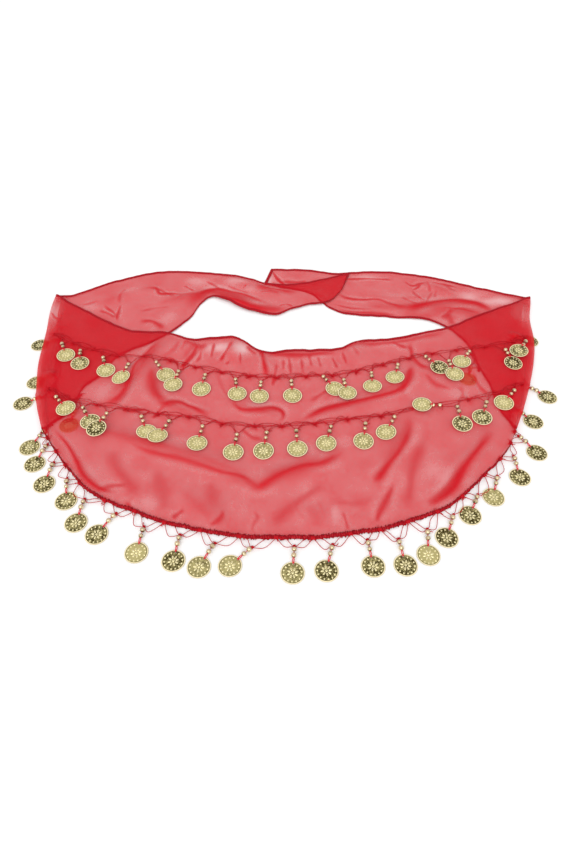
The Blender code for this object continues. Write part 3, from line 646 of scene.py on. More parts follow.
def chiffon_material():
    """Sheer red chiffon: see-through, finely woven, denser along creases and in gathers, partly
    with painted crease shade, and paler where light is painted.
    """
    material, tree, shader = new_material("red_chiffon")
    cut = add_node(tree, "UVMap", {}, uv_map="cut").outputs["UV"]
    place = add_node(tree, "TexCoord", {}).outputs["Object"]
    gather_and_shade = attribute_of(tree, "gather_and_shade")
    painted_light = attribute_of(tree, "painted_light")
    warp, weft = [add_node(tree, "TexWave", {"Vector": cut, "Scale": WEAVE_SCALE,
                                             "Distortion": 1.5, "Detail Scale": 2.0},
                           bands_direction=bands).outputs["Fac"] for bands in "XY"]
    weave = math_of(tree, "MULTIPLY", math_of(tree, "ADD", warp, weft), 0.5)
    cloud = noise_of(tree, place, DRIFT_SCALE, detail=3.0, roughness=0.55)
    drift = add_node(tree, "MapRange", {"Value": cloud, "From Min": 0.32,
                                        "From Max": 0.68}).outputs["Result"]
    crinkle = noise_of(tree, cut, CRINKLE_SCALE, detail=3.0)
    crepe = noise_of(tree, cut, CREPE_SCALE)

    cover = LEAST_COVER
    for value, share in ((weave, WEAVE_SHARE), (crinkle, CRINKLE_SHARE), (drift, DRIFT_SHARE)):
        cover = math_of(tree, "ADD", cover, math_of(tree, "MULTIPLY", value, share))
    cover = math_of(tree, "SUBTRACT", cover, math_of(tree, "MULTIPLY", painted_light, PAINTED_LIGHT_SHARE))
    ungathered_unshaded = math_of(tree, "SUBTRACT", 1.0, math_of(tree, "MULTIPLY", gather_and_shade, GATHER_AND_SHADE_COVER))
    open_part = math_of(tree, "MULTIPLY", math_of(tree, "SUBTRACT", 1.0, cover), ungathered_unshaded)
    tone = add_node(tree, "Mix", {"Factor": gather_and_shade, "A": SMOOTH_RED, "B": GATHERED_AND_SHADED_RED},
                    data_type="RGBA").outputs["Result"]
    grain = math_of(tree, "ADD", weave, crepe)
    feed(tree, shader, {
        "Alpha": math_of(tree, "SUBTRACT", 1.0, open_part, clamp=True),
        "Base Color": tone,
        "Normal": relief_of(tree, grain, *CLOTH_RELIEF),
        "Roughness": math_of(tree, "ADD", 0.50, math_of(tree, "MULTIPLY", crepe, 0.2)),
        "Specular IOR Level": 0.08,
        "Sheen Weight": 0.03,
        "Sheen Roughness": 0.35,
        "Sheen Tint": (1.0, 0.72, 0.74, 1),
    })
    return material


chiffon = chiffon_material()


def finished_cloth(name, node, columns, creases, streaks, light_patches, ripple, seeds, cover=None):
    """One stretch of cloth with its streaks, ripples, waved edges and cover over beads."""
    x, y = columns[..., 0], columns[..., 1]
    broad = crease_fields(creases, x, y)[1]
    sharp, painted_light, rise = streak_fields(streaks, light_patches, x, y)
    shade = 1 - (1 - BROAD_SHARE * broad) * (1 - sharp)
    columns[..., 2] += ripple * unevenness(x, y, RIPPLE_LENGTH, seeds[0]) + rise
    if cover:
        lift_over_beads(columns, cover)
    settle_sides(columns)
    wave_edges(columns, seeds[1])
    piece = cloth_piece(name, columns, shade, painted_light, chiffon)
    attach(piece, "root")
    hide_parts(node)
    return piece


left_fold = side_fold(FRONT[:3], LEFT_TIE)
right_fold = side_fold(FRONT[:-4:-1], RIGHT_TIE)
middle = [raised(section_points(smooth_row(FRONT, step / FRONT_STEPS)))
          for step in range(FRONT_STEPS + 1, (len(FRONT) - 2) * FRONT_STEPS)]
front_columns = np.array(left_fold + middle + right_fold[::-1])
lift_over_beads(front_columns, BEAD_COVER[1])
front_cloth = finished_cloth("front_cloth", "front_panel", front_columns, FRONT_CREASES,
                             FRONT_STREAKS, FRONT_PAINTED_LIGHT, RIPPLE, FRONT_SEEDS)

# ---- ties ------------------------------------------------------------------------------------
# The two ends of the same half-moon, turned back under the front.  They cross behind it, the
# left one lying over the right one.

TIE_STEPS = 14
TIE_RIPPLE = 0.5 * RIPPLE
LEFT_CREASES = table_of(Crease, (
    (-112, 208, -60, 192, -12, 178, 3, 11, 0.7, 5),
    (-170, 190, -140, 206, -106, 214, 2.2, 11, 0.5, 5),
    (-250, 190, -215, 215, -170, 232, 1.8, 12, 0.3, 5),
    (-70, 244, -40, 226, 0, 214, 2, 10, 0.4, 4),
), plain=("shade",))
RIGHT_CREASES = table_of(Crease, (
    (104, 186, 180, 186, 250, 196, 2.6, 11, 0.7, 6),
    (110, 212, 160, 204, 214, 214, 1.8, 11, 0.4, 4),
    (186, 240, 216, 224, 236, 200, 2, 10, 0.4, 4),
), plain=("shade",))
LEFT_STREAKS = streaks_of((
    (0.5, 7.5, -132, 182, -121, 204, -107, 218, -86, 216, -61, 202, -39, 189),
    (0.42, 5, -72, 198, -47, 184, -23, 178, 4, 180),
    (0.75, 1.5, -187, 230, -179, 229, -172, 216, -156, 215, -143, 212, -116, 210),
    (0.55, 1.3, -195, 229, -176, 226, -163, 217, -148, 205),
    (0.65, 1, -140, 234, -133, 228, -125, 221),
    (0.35, 1.2, -149, 198, -138, 212),
    (0.25, 1.2, -144, 196, -133, 207),
    (0.3, 1.4, -193, 175, -173, 182, -152, 185),
    (0.55, 2.6, -189, 153, -175, 155, -164, 148, -155, 137),
    (0.6, 1.4, -221, 191, -220, 178, -220, 167, -218, 154),
    (0.55, 1.3, -242, 189, -235, 181, -227, 174, -219, 161),
    (0.55, 1.3, -247, 178, -233, 171, -221, 161),
    (0.4, 1.4, -220, 229, -225, 212, -223, 193),
    (0.35, 1.5, -274, 189, -262, 193, -252, 200),
    (0.88, 2.3, -136, 210, -119, 212, -109, 221, -95, 226, -84, 223, -74, 218, -58, 212, -45, 204,
     -31, 195, -10, 181),
    (0.62, 4.2, -105, 209, -88, 207, -71, 198, -53, 187, -36, 178, -14, 174),
    (0.45, 1.4, -37, 215, -19, 218, -7, 213),
    (0.72, 0.9, -53, 234, -58, 225),
    (0.6, 3, -43, 236, -32, 228, -21, 224, -1, 220, 16, 217),
    (0.6, 1, -9, 185, 2, 190, 11, 183),
    (0.4, 1.4, -148, 213, -133, 213, -118, 217),
    (0.4, 1.4, -112, 247, -96, 233, -87, 223),
    (0.35, 1.4, -82, 235, -65, 223, -48, 214),
))
LEFT_PAINTED_LIGHT = table_of(LightPatch, (
    (0.55, -69, 246, 18, 9), (0.4, -124, 246, 15, 9), (0.4, -47, 226, 8, 7),
    (0.25, -206, 221, 16, 9), (0.3, -153, 163, 12, 11), (0.25, -257, 184, 13, 9),
), plain=("amount",))
RIGHT_STREAKS = streaks_of((
    (0.26, 12, 148, 163, 178, 171, 215, 178, 248, 173, 278, 167),
    (0.34, 5, 164, 184, 195, 195, 230, 198, 259, 189),
    (0.92, 1.5, -18, 270, -14, 259, -9, 248, -1, 238, 8, 233),
    (0.45, 2.6, -7, 245, 14, 243, 32, 246),
    (0.8, 3.4, 158, 178, 169, 181, 180, 185, 209, 195, 232, 198, 255, 194, 270, 183, 280, 172),
    (0.55, 1.4, 176, 224, 183, 229, 190, 238),
    (0.5, 1.2, 175, 225, 179, 211, 186, 198),
    (0.48, 1.1, 180, 208, 189, 197),
    (0.4, 1.2, 199, 246, 200, 233, 199, 218),
    (0.55, 1.5, 204, 244, 223, 237, 240, 230),
    (0.36, 1.3, 204, 221, 194, 203, 187, 187),
    (0.34, 1.6, 204, 155, 218, 172, 233, 182, 258, 174),
    (0.38, 1.3, 208, 222, 203, 205),
    (0.6, 1.3, 207, 179, 215, 181, 225, 180, 235, 179, 242, 176, 252, 172, 262, 166),
    (0.4, 4.6, 213, 171, 215, 158, 216, 147),
    (0.6, 1.9, 70, 221, 82, 207, 102, 202, 125, 202, 141, 191, 156, 183, 173, 183),
    (0.42, 2.4, 69, 181, 88, 175, 108, 173, 130, 170, 151, 167),
    (0.34, 1.6, 66, 192, 89, 183, 118, 180),
    (0.55, 1.5, 79, 250, 116, 252, 154, 249),
    (0.5, 1.4, 157, 207, 168, 196, 178, 186),
    (0.6, 1.5, 168, 247, 177, 234, 189, 239, 200, 241),
    (0.38, 1.5, 223, 237, 230, 225, 238, 220),
    (0.42, 1.4, 222, 181, 214, 171, 203, 161),
))
RIGHT_PAINTED_LIGHT = table_of(LightPatch, (
    (0.85, -24, 249, 6, 15), (0.8, 290, 198, 20, 9), (0.35, 253, 213, 16, 7),
    (0.4, 118, 256, 18, 8), (0.3, 185, 175, 18, 7), (0.25, 149, 206, 19, 9),
), plain=("amount",))


def tie_columns(tie, creases, fold):
    """Columns of a tie's cloth, from the front's turned-under lip to the tie's free end."""
    share = SIDE_FOLD[0].towards_tie
    root = [a + (b - a) * share for a, b in zip(fold, tie[0][:5])]
    rows = (TieSection(*root, tie[0].far_lift, tie[0].near_lift),) + tie
    columns = []
    for step in range((len(rows) - 1) * TIE_STEPS + 1):
        section = smooth_row(rows, step / TIE_STEPS)
        column = section_points(section)
        lift = np.linspace(section.far_lift, section.near_lift, ROWS + 1)
        height = crease_fields(creases, column[:, 0], column[:, 1])[0]
        column[:, 2] = LAYER / 2 + np.maximum(lift, 0.0) + height
        columns.append(column)
    return np.array(columns)


ties = {}
for name, tie, creases, streaks, light_patches, fold, seeds in (
    ("left_tie", LEFT_TIE, LEFT_CREASES, LEFT_STREAKS, LEFT_PAINTED_LIGHT, FRONT[0], (7.0, 37.0)),
    ("right_tie", RIGHT_TIE, RIGHT_CREASES, RIGHT_STREAKS, RIGHT_PAINTED_LIGHT, FRONT[-1], (11.0, 41.0)),
):
    columns = tie_columns(tie, creases, fold)
    cloth = finished_cloth(name + "_cloth", name, columns, creases, streaks, light_patches,
                           TIE_RIPPLE, seeds, BEAD_COVER[0])
    ties[name] = (cloth, columns)

# ---- overlocked edges --------------------------------------------------------------------------
# A band of dark red polyester thread that binds every edge of the chiffon, stitched over it by
# an overlock machine: raised bars of thread side by side, with gaps between them.

STITCH_PITCH = 0.0031
BAND_STEP = STITCH_PITCH / 6
BAND_SIDES = 8
BAND_SLANT = 0.0006
BAND_INSET = 0.8            # the band's middle is this many half widths in from the cloth's edge
EDGE_BAND = (0.0023, 0.0006, 0.0)   # half width, half height and roughness of a plain edge
HEM_BAND = (0.0022, 0.0011, 1.0)    # and of the hem, which the coins' chain makes lumpy
BAR_WIDTH = (0.84, 0.16)    # shares of the band's width and height: in the gaps, and what the
BAR_HEIGHT = (0.55, 0.45)   # bars of thread add to that
LUMP_LENGTH = 0.0019
LUMP_RISE = 1.6
JUST_CLEAR = 0.0001         # of the table
FIBRE_SCALE = 1500.0
FIBRE_SHARE = 0.35


def even_points(points, step):
    """Points at even distances along a path of points, and those distances."""
    points = np.array(points)
    steps = np.linalg.norm(np.diff(points, axis=0), axis=1)
    distance = np.concatenate([[0.0], np.cumsum(steps)])
    places = np.linspace(0.0, distance[-1], max(int(round(distance[-1] / step)), 2) + 1)
    columns = [np.interp(places, distance, points[:, k]) for k in range(points.shape[1])]
    return np.stack(columns, axis=1), places


def add_tube(mesh, rings):
    """Closed tube of faces from ring to ring of vertices."""
    sides = len(rings[0])
    for start, end in zip(rings, rings[1:]):
        for k in range(sides):
            m = (k + 1) % sides
            mesh.faces.new((start[k], start[m], end[m], end[k])).smooth = True
    mesh.faces.new(rings[0][::-1])
    mesh.faces.new(rings[-1])


def add_band(mesh, edge, inner, half_width, half_height, rough):
    """Stitched band along an edge of cloth: inner is the line of points next to the edge."""
    stitch = mesh.verts.layers.float["stitch"]
    both, places = even_points(np.hstack([edge, inner]), BAND_STEP)
    rings = []
    for place, values in zip(places, both):
        inward = Vector(values[3:6] - values[0:3]).normalized()
        centre = Vector(values[0:3]) + inward * half_width * BAND_INSET
        centre.z = max(centre.z, half_height + JUST_CLEAR)
        ring = []
        for side in range(BAND_SIDES):
            turn = 2 * math.pi * side / BAND_SIDES
            phase = (place + BAND_SLANT * math.cos(turn)) / STITCH_PITCH
            ridge = abs(math.sin(math.pi * phase))
            lump = rough * noise.noise(Vector((place / LUMP_LENGTH, 2.0 * math.cos(turn),
                                               side * 0.6)))
            ridge = min(max(ridge + LUMP_RISE * lump, 0.0), 1.0)
            wide = half_width * (BAR_WIDTH[0] + BAR_WIDTH[1] * ridge + lump)
            high = half_height * (BAR_HEIGHT[0] + BAR_HEIGHT[1] * ridge + lump)
            spot = centre + inward * math.cos(turn) * wide + Vector((0, 0, high * math.sin(turn)))
            spot.z = max(spot.z, JUST_CLEAR)
            vertex = mesh.verts.new((spot.x - CENTRE_X, spot.y - CENTRE_Y, spot.z))
            vertex[stitch] = ridge
            ring.append(vertex)
        rings.append(ring)
    add_tube(mesh, rings)


def thread_mesh():
    """An empty mesh for thread, whose points say how high they stand in the stitch."""
    mesh = bmesh.new()
    mesh.verts.layers.float.new("stitch")
    return mesh


def thread_piece(name, mesh, material):
    """One piece of closed shells of thread, with all faces outwards."""
    bmesh.ops.recalc_face_normals(mesh, faces=mesh.faces)
    piece = object_of(name, mesh, material)
    return piece


def thread_material(name, gap_tone, top_tone):
    """Red polyester thread: one tone in the gaps between its strands, another on top of them."""
    material, tree, shader = new_material(name)
    place = add_node(tree, "TexCoord", {}).outputs["Object"]
    fibre = noise_of(tree, place, FIBRE_SCALE)
    height = math_of(tree, "MULTIPLY_ADD", fibre, FIBRE_SHARE, attribute_of(tree, "stitch"))
    tone = add_node(tree, "ValToRGB", {"Fac": height})
    for stop, position, colour in zip(tone.color_ramp.elements, (0.25, 1.15 / 1.35),
                                      (gap_tone, top_tone)):
        stop.position = position
        stop.color = colour
    feed(tree, shader, {"Base Color": tone.outputs["Color"],
                        "Normal": relief_of(tree, fibre, 0.5, 0.0001),
                        "Roughness": 0.7, "Specular IOR Level": 0.1})
    return material


edge_thread = thread_material("edge_thread", (0.56, 0.020, 0.030, 1), (0.30, 0.002, 0.008, 1))
edgings = {}
for name, columns in (("front", front_columns), ("left_tie", ties["left_tie"][1]),
                      ("right_tie", ties["right_tie"][1])):
    mesh = thread_mesh()
    add_band(mesh, columns[:, 0], columns[:, 1], *EDGE_BAND)
    add_band(mesh, columns[:, -1], columns[:, -2], *(HEM_BAND if name == "front" else EDGE_BAND))
    if name != "front":
        add_band(mesh, columns[-1], columns[-2], *EDGE_BAND)
    edgings[name] = thread_piece(name + "_edging", mesh, edge_thread)
    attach(edgings[name], "root")

# ---- coins -------------------------------------------------------------------------------------
# Stamped brass coins with a raised rim, a ring of pearls and an eight-petal rosette round a
# boss, and a small hole for the thread.  One is modelled, and the rows carry copies of it.

COIN_RADIUS = 0.011
COIN_THICKNESS = 0.0008
COIN_SIDES = 56
RIM_WIDTH = 0.0010
RIM_STEP = 0.00015          # width of the slope from the rim down to the field
RIM_BEVEL = 0.00012
FIELD_DEPTH = 0.00025
FIELD_HEIGHT = COIN_THICKNESS - FIELD_DEPTH
PEARL_RING = 0.0081
PEARL_SIZE = (0.0010, 0.00085)
PEARL_COUNT = 14            # places in the ring, of which the hole takes one
PETAL_RING = 0.0035
PETAL_SIZE = (0.0018, 0.00095)
PETAL_COUNT = 8
BOSS_SIZE = (0.0013, 0.0013)
HOLE_PLACE = 0.0088
HOLE_RADIUS = 0.0008
RELIEF = 0.00036


def settle(piece):
    """Put a primitive's place, turn and size into its mesh."""
    bpy.ops.object.select_all(action="DESELECT")
    piece.select_set(True)
    bpy.context.view_layer.objects.active = piece
    bpy.ops.object.transform_apply(location=True, rotation=True, scale=True)


def join(pieces):
    """One object of several."""
    bpy.ops.object.select_all(action="DESELECT")
    for piece in pieces:
        piece.select_set(True)
    bpy.context.view_layer.objects.active = pieces[0]
    bpy.ops.object.join()
    return pieces[0]


def edit_where(piece, kind, chosen):
    """Enter edit mode with the chosen vertices, edges or faces selected and nothing else."""
    bpy.ops.object.mode_set(mode="EDIT")
    bpy.ops.mesh.select_all(action="DESELECT")
    bpy.ops.object.mode_set(mode="OBJECT")
    parts = {"VERT": piece.data.vertices, "EDGE": piece.data.edges, "FACE": piece.data.polygons}
    for part in parts[kind]:
        part.select = chosen(part)
    bpy.ops.object.mode_set(mode="EDIT")
    bpy.ops.mesh.select_mode(type=kind)


def cut_or_fuse(piece, tool, operation):
    """Boolean of a piece with a tool object, which is then removed."""
    boolean = piece.modifiers.new("boolean", "BOOLEAN")
    boolean.operation = operation
    boolean.object = tool
    bpy.context.view_layer.objects.active = piece
    bpy.ops.object.modifier_apply(modifier="boolean")
    bpy.data.objects.remove(tool, do_unlink=True)


def stamp(reach, turn, size):
    """One raised dot of the coin's pattern, at a turn round its middle."""
    bpy.ops.mesh.primitive_uv_sphere_add(
        segments=12, ring_count=6, radius=1.0, rotation=(0, 0, turn),
        location=(reach * math.cos(turn), reach * math.sin(turn), FIELD_HEIGHT))
    dot = bpy.context.object
    dot.scale = (*size, RELIEF)
    settle(dot)
    return dot


bpy.ops.object.select_all(action="DESELECT")
bpy.ops.mesh.primitive_cylinder_add(vertices=COIN_SIDES, radius=COIN_RADIUS,
                                    depth=COIN_THICKNESS, location=(0, 0, COIN_THICKNESS / 2))
coin = bpy.context.object
coin.name = "pattern_coin"
settle(coin)
edit_where(coin, "FACE", lambda face: abs(face.normal.z) > 0.9)
bpy.ops.mesh.inset(thickness=RIM_WIDTH, depth=0)
bpy.ops.mesh.inset(thickness=RIM_STEP, depth=-FIELD_DEPTH)
bpy.ops.object.mode_set(mode="OBJECT")
rim = coin.modifiers.new("rim", "BEVEL")
rim.width = RIM_BEVEL
rim.segments = 2
rim.limit_method = "ANGLE"
rim.angle_limit = math.radians(60)
bpy.ops.object.modifier_apply(modifier="rim")

turns = [2 * math.pi * step / PEARL_COUNT for step in range(1, PEARL_COUNT)]
stamps = [stamp(PEARL_RING, turn, PEARL_SIZE) for turn in turns]
turns = [2 * math.pi * (step + 0.5) / PETAL_COUNT for step in range(PETAL_COUNT)]
stamps += [stamp(PETAL_RING, turn, PETAL_SIZE) for turn in turns]
stamps.append(stamp(0.0, 0.0, BOSS_SIZE))
cut_or_fuse(coin, join(stamps), "UNION")
bpy.ops.mesh.primitive_cylinder_add(vertices=16, radius=HOLE_RADIUS, depth=4 * COIN_THICKNESS,
                                    location=(HOLE_PLACE, 0, COIN_THICKNESS / 2))
cut_or_fuse(coin, bpy.context.object, "DIFFERENCE")
coin_mesh = coin.data
for layer in list(coin_mesh.uv_layers):
    coin_mesh.uv_layers.remove(layer)
face_map = coin_mesh.uv_layers.new(name="face")
for loop in coin_mesh.loops:
    spot = coin_mesh.vertices[loop.vertex_index].co
    face_map.data[loop.index].uv = (0.5 + spot.x / 2 / COIN_RADIUS, 0.5 + spot.y / 2 / COIN_RADIUS)
recess_and_shade = coin_mesh.attributes.new("recess_and_shade", "FLOAT", "POINT")
for vertex in coin_mesh.vertices:
    low = (COIN_THICKNESS - vertex.co.z) / FIELD_DEPTH
    recess_and_shade.data[vertex.index].value = min(max(3 * low - 2, 0.0), 1.0)
coin_mesh.shade_smooth()
coin_mesh.set_sharp_from_angle(angle=math.radians(35))

PAINTED_EDGE_SHADOW = (0.17, 0.055, 0.020, 1)     # painted shadow: a dark outline at the coin's outermost edge, seen against the cloth
BRASS_RELIEF = (0.5, 0.00012)
STAINS = 170.0              # scales of its stains, specks and grain
SPECKS = 950.0
GRAIN = 2600.0
# How strongly tarnish and painted shade darken the brass.
TARNISH_AND_SHADE_GAIN = 2.6


def brass_material(name, raised_tone, field_tone, dark_tone, rim_and_highlight_tone=None):
    """Stamped brass: pale where raised and rubbed, dark and dull in recesses and in painted shade.
    """
    material, tree, shader = new_material(name)
    recess_and_shade = attribute_of(tree, "recess_and_shade")
    patina = attribute_of(tree, "patina")
    place = add_node(tree, "TexCoord", {}).outputs["Object"]

    def spread(value, start, end, low=0.0, high=1.0):
        ends = {1: start, 2: end, 3: low, 4: high}
        return add_node(tree, "MapRange", {"Value": value, **ends}).outputs["Result"]

    def blotches(scale, low, high):
        return spread(noise_of(tree, place, scale), 0.36, 0.64, low, high)

    def clamped(operation, first, second):
        return math_of(tree, operation, first, second, clamp=True)

    def mixed(factor, first, second):
        return add_node(tree, "Mix", {"Factor": factor, "A": first, "B": second},
                        data_type="RGBA").outputs["Result"]

    stain = blotches(STAINS, 0.45, 1.0)
    specks = blotches(SPECKS, 0.25, 1.0)
    grain = blotches(GRAIN, 0.0, 1.0)
    # Tarnish and painted shade: coins of the hem and the sides are darkened for the darker surround
    # they mirror.
    tarnish_and_shade = clamped("MULTIPLY", patina, patina)
    for share in (recess_and_shade, stain, specks, TARNISH_AND_SHADE_GAIN):
        tarnish_and_shade = clamped("MULTIPLY", tarnish_and_shade, share)
    tone = mixed(recess_and_shade, raised_tone, field_tone)
    metallic = 1.0
    if rim_and_highlight_tone:
        face = add_node(tree, "UVMap", {}, uv_map="face").outputs["UV"]
        centred = add_node(tree, "VectorMath", {0: face, 1: (0.5, 0.5, 0.0)}, operation="SUBTRACT")
        reach = add_node(tree, "VectorMath", {0: centred.outputs["Vector"]},
                         operation="LENGTH").outputs["Value"]
        # The reach is in coins' widths: 0.5 is the outer edge, and the rim ends at 0.45.
        # Painted shade: a dark ring inside the rim, at its foot.
        groove_shade = clamped("MULTIPLY", spread(reach, 0.400, 0.417), spread(reach, 0.444, 0.439))
        # Painted shadow: a dark outline round the coin's outer edge.
        edge_shadow = spread(reach, 0.482, 0.488)
        # The rim: rubbed brass with a painted highlight, a pale cream tone that is less metallic.
        rim = spread(reach, 0.441, 0.448)
        tarnish_and_shade = clamped("MAXIMUM", tarnish_and_shade, clamped("MULTIPLY", groove_shade, 0.75))
        tone = mixed(tarnish_and_shade, tone, dark_tone)
        tone = mixed(rim, tone, rim_and_highlight_tone)
        tone = mixed(clamped("MULTIPLY", edge_shadow, 0.85), tone, PAINTED_EDGE_SHADOW)
        rubbed_and_highlit_rim = clamped("MULTIPLY", rim, spread(edge_shadow, 1.0, 0.0))
        metallic = spread(rubbed_and_highlit_rim, 0.0, 1.0, 1.0, 0.4)
    else:
        tone = mixed(tarnish_and_shade, tone, dark_tone)
    feed(tree, shader, {"Base Color": tone, "Metallic": metallic,
                        "Roughness": spread(tarnish_and_shade, 0.0, 1.0, 0.30, 0.55),
                        "Normal": relief_of(tree, clamped("ADD", grain, specks), *BRASS_RELIEF)})
    return material


coin_brass = brass_material("coin_brass", (0.98, 0.87, 0.50, 1), (0.79, 0.685, 0.30, 1),
                            (0.08, 0.060, 0.018, 1), (1.0, 0.87, 0.54, 1))

# ---- beads -------------------------------------------------------------------------------------
# Small round brass beads with a hole through them, two on each drop above its coin.  One is
# modelled, and each is a copy of it at its own size.

bpy.ops.object.select_all(action="DESELECT")
bpy.ops.mesh.primitive_uv_sphere_add(segments=14, ring_count=10, radius=1.0)
bead = bpy.context.object
bead.name = "pattern_bead"
bead_mesh = bead.data


def at_hole(edge):
    """Whether an edge of the bead runs round the mouth of its hole."""
    ends = [bead_mesh.vertices[k].co.z for k in edge.vertices]
    return min(abs(end) for end in ends) > 0.9 and abs(ends[0] - ends[1]) < 0.01


edit_where(bead, "VERT", lambda vertex: abs(vertex.co.z) > 0.99)
bpy.ops.mesh.delete(type="VERT")
edit_where(bead, "EDGE", at_hole)
bpy.ops.mesh.bridge_edge_loops()
bpy.ops.object.mode_set(mode="OBJECT")
bead_mesh.shade_smooth()
bead_mesh.set_sharp_from_angle(angle=math.radians(50))
# Painted shade: each bead is darker towards both ends of its hole.
recess_and_shade = bead_mesh.attributes.new("recess_and_shade", "FLOAT", "POINT")
for vertex in bead_mesh.vertices:
    recess_and_shade.data[vertex.index].value = 0.1 + 0.9 * abs(vertex.co.z) ** 2
bead_brass = brass_material("bead_brass", (0.92, 0.76, 0.50, 1), (0.58, 0.44, 0.25, 1),
                            (0.10, 0.06, 0.03, 1))

# ---- rows of coins -----------------------------------------------------------------------------
# Red thread is knotted to the cloth between the drops and hangs in loops from knot to knot.
# Each drop is two beads and a coin, tied into its loop; all of them lie as they fell.

# The line of each chain in plan.
CHAINS = {name: table_of(Point, rows) for name, rows in {
    "upper": (
        (-300, 128), (-262, 107), (-222, 90), (-186, 80), (-142, 77), (-100, 64), (-60, 54),
        (-20, 48), (20, 50), (60, 52), (100, 64), (140, 78), (180, 88), (220, 96), (262, 104),
        (300, 116),
    ),
    "middle": (
        (-282, 38), (-262, 21), (-235, 6), (-200, -1), (-168, -5), (-136, -11), (-104, -15),
        (-70, -24), (-36, -28), (0, -28), (36, -24), (70, -18), (104, -13), (140, -4), (178, 4),
        (212, 11), (244, 20), (274, 35),
    ),
    "left_turned": (
        (-284, 124), (-279, 90), (-270, 50), (-261, 15),
    ),
    "right_turned": (
        (246, -16), (254, 5), (268, 45), (283, 90), (291, 124),
    ),
    "left_hidden": (
        (-237, -12), (-233, 12), (-228, 33), (-212, 53),
    ),
    "right_hidden": (
        (217, 121), (226, 96), (229, 62), (234, 28),
    ),
}.items()}

# A drop: how far along its chain it hangs, its heading in degrees, how far its coin's middle
# is from the chain, how many coins it lies on, and how dark its coin is: partly tarnish with
# age, partly painted shade for the darker surround that coins at the hem and the sides mirror.
Strand = namedtuple("Strand", "along heading drop level patina")
STRANDS = {name: table_of(Strand, rows, plain=("heading", "level", "patina")) for name, rows in {
    "hem": (
        (3, -24, 16, 0, 0.75), (21, -14, 23, 0, 0.85), (44, -6, 29, 0, 0.85), (71, 12, 29, 0, 0.75),
        (104, -5, 29, 0, 0.8), (142, -32, 28, 0, 0.85), (173, -6, 31, 0, 0.3),
        (208, -6, 29, 0, 0.85), (244, -28, 31, 0, 0.6), (280, -47, 32, 0, 0.45),
        (314, -4, 29, 0, 0.65), (349, -15, 29, 0, 0.9), (381, 6, 29, 0, 0.85),
        (408, 7, 34, 0, 0.85), (440, -7, 34, 0, 0.3), (471, -24, 32, 0, 0.9),
        (509, -28, 34, 0, 0.9), (541, -21, 33, 0, 0.55), (572, -1, 31, 0, 0.9),
        (597, 31, 25, 0, 0.9),
    ),
    "upper": (
        (27, 26, 31, 0, 0.42), (58, 12, 29, 0, 0.7), (89, 20, 31, 0, 0.42), (128, -12, 34, 0, 0.42),
        (153, 37, 30, 0, 0.42), (189, -9, 32.5, 1, 0.42), (221, -6, 30, 0, 0.42),
        (256, 8, 30, 0, 0.4), (287, -3, 29, 0, 0.4), (321, 3, 28, 0, 0.42), (359, 34, 22, 0, 0.42),
        (381, 6, 28.5, 1, 0.42), (417, -3, 29, 0, 0.42), (453, -16, 28, 0, 0.42),
        (487, 37, 24, 0, 0.95), (513, 6, 36.5, 1, 0.42), (547, -36, 28, 0, 0.42),
        (587, 10, 32, 0, 0.95), (621, -37, 27.5, 1, 0.78),
    ),
    "middle": (
        (32, 41, 28, 0, 0.42), (68, 32, 30, 0, 0.7), (101, -14, 30.5, 1, 0.9),
        (135, 23, 30, 0, 0.42), (171, -22, 29.5, 1, 0.42), (208, -8, 31, 0, 0.42),
        (246, -6, 35, 0, 0.42), (277, -7, 31, 0, 0.5), (307, 2, 30, 0, 0.35),
        (346, -15, 29, 0, 0.42), (384, -10, 31, 0, 0.5), (418, -29, 29, 0, 0.42),
        (477, -97, 27, 1, 0.42), (488, 2, 30, 0, 0.88), (526, -24, 32, 0, 0.82),
        (563, -42, 28, 0, 0.35),
    ),
    "left_turned": (
        (9, -69, 19.5, 0, 0.95), (73, -55, 19, 0, 0.8), (106, -66, 31, 0, 0.85),
    ),
    "right_turned": (
        (16, 40, 24, 0, 0.85), (61, 50, 36, 0, 0.85), (144.5, 66, 13.5, 0, 0.95),
    ),
    "left_hidden": (
        (17, -6, 30, 0, 0.6),
    ),
    "right_hidden": (
        (48, -21, 30, 0, 0.6),
    ),
}.items()}

ELBOW = (0.0035, 0.0050)    # a strand leaves its chain squarely, and turns this far out, by level
LEVEL_STEP = 0.0012         # a coin that lies on its neighbour is this much higher
TABLE_GAP = 0.0001
COIN_GAP = 0.0003
THREAD_RADIUS = 0.00032
SEWN_RADIUS = 0.00030       # of the thread along the cloth
ROW_LEAN = 0.09             # slope of a coin whose upper edge its beads hold up from the cloth
THREAD_STEPS = 6
THREAD_SIDES = 6
HOLD_RADIUS = 1.25 * THREAD_RADIUS  # of the two threads that hold a coin
BEAD_PLACES = {             # from the coin's centre back to the upper and the lower bead's
    "upper": (0.0222, 0.0163),
    "middle": (0.0237, 0.0167),
    "hem": (0.0224, 0.0162),
}
OTHER_BEADS = (0.0185, 0.0135)
BEAD_SIZES = ((0.0025, 0.0022), (0.0023, 0.0025), (0.0025, 0.0023))
KNOT_GAP = 0.0008           # from the upper bead to its drop's knot
RIM_CLEAR = 0.0002          # a coin's two threads cross its rim this far out,
HOLE_CLEAR = 0.0006         # and turn down into its hole from this far out of its middle
KNOT_TURNS = 3
KNOT_STEPS = 24
COIL = (1.6, 0.6, 0.45, 0.30)       # length, half width, half height and thread, by its size
KNOT_TONE = 0.15
KNOT_STRAY = 0.0015         # a knot sits up to this far from its place along the chain
DROP_KNOT = {True: 0.0017, False: 0.0011}   # size of a drop's knot: on the hem, elsewhere
CHAIN_KNOT = {True: 0.0023, False: 0.0015}  # and of a knot that ties the chain down
TAIL_LENGTH = 0.0052
SEWN_KNOT_LIFT = 0.0007     # a knot on the cloth is half drawn into it
HEM_KNOT_INSET = 0.0022
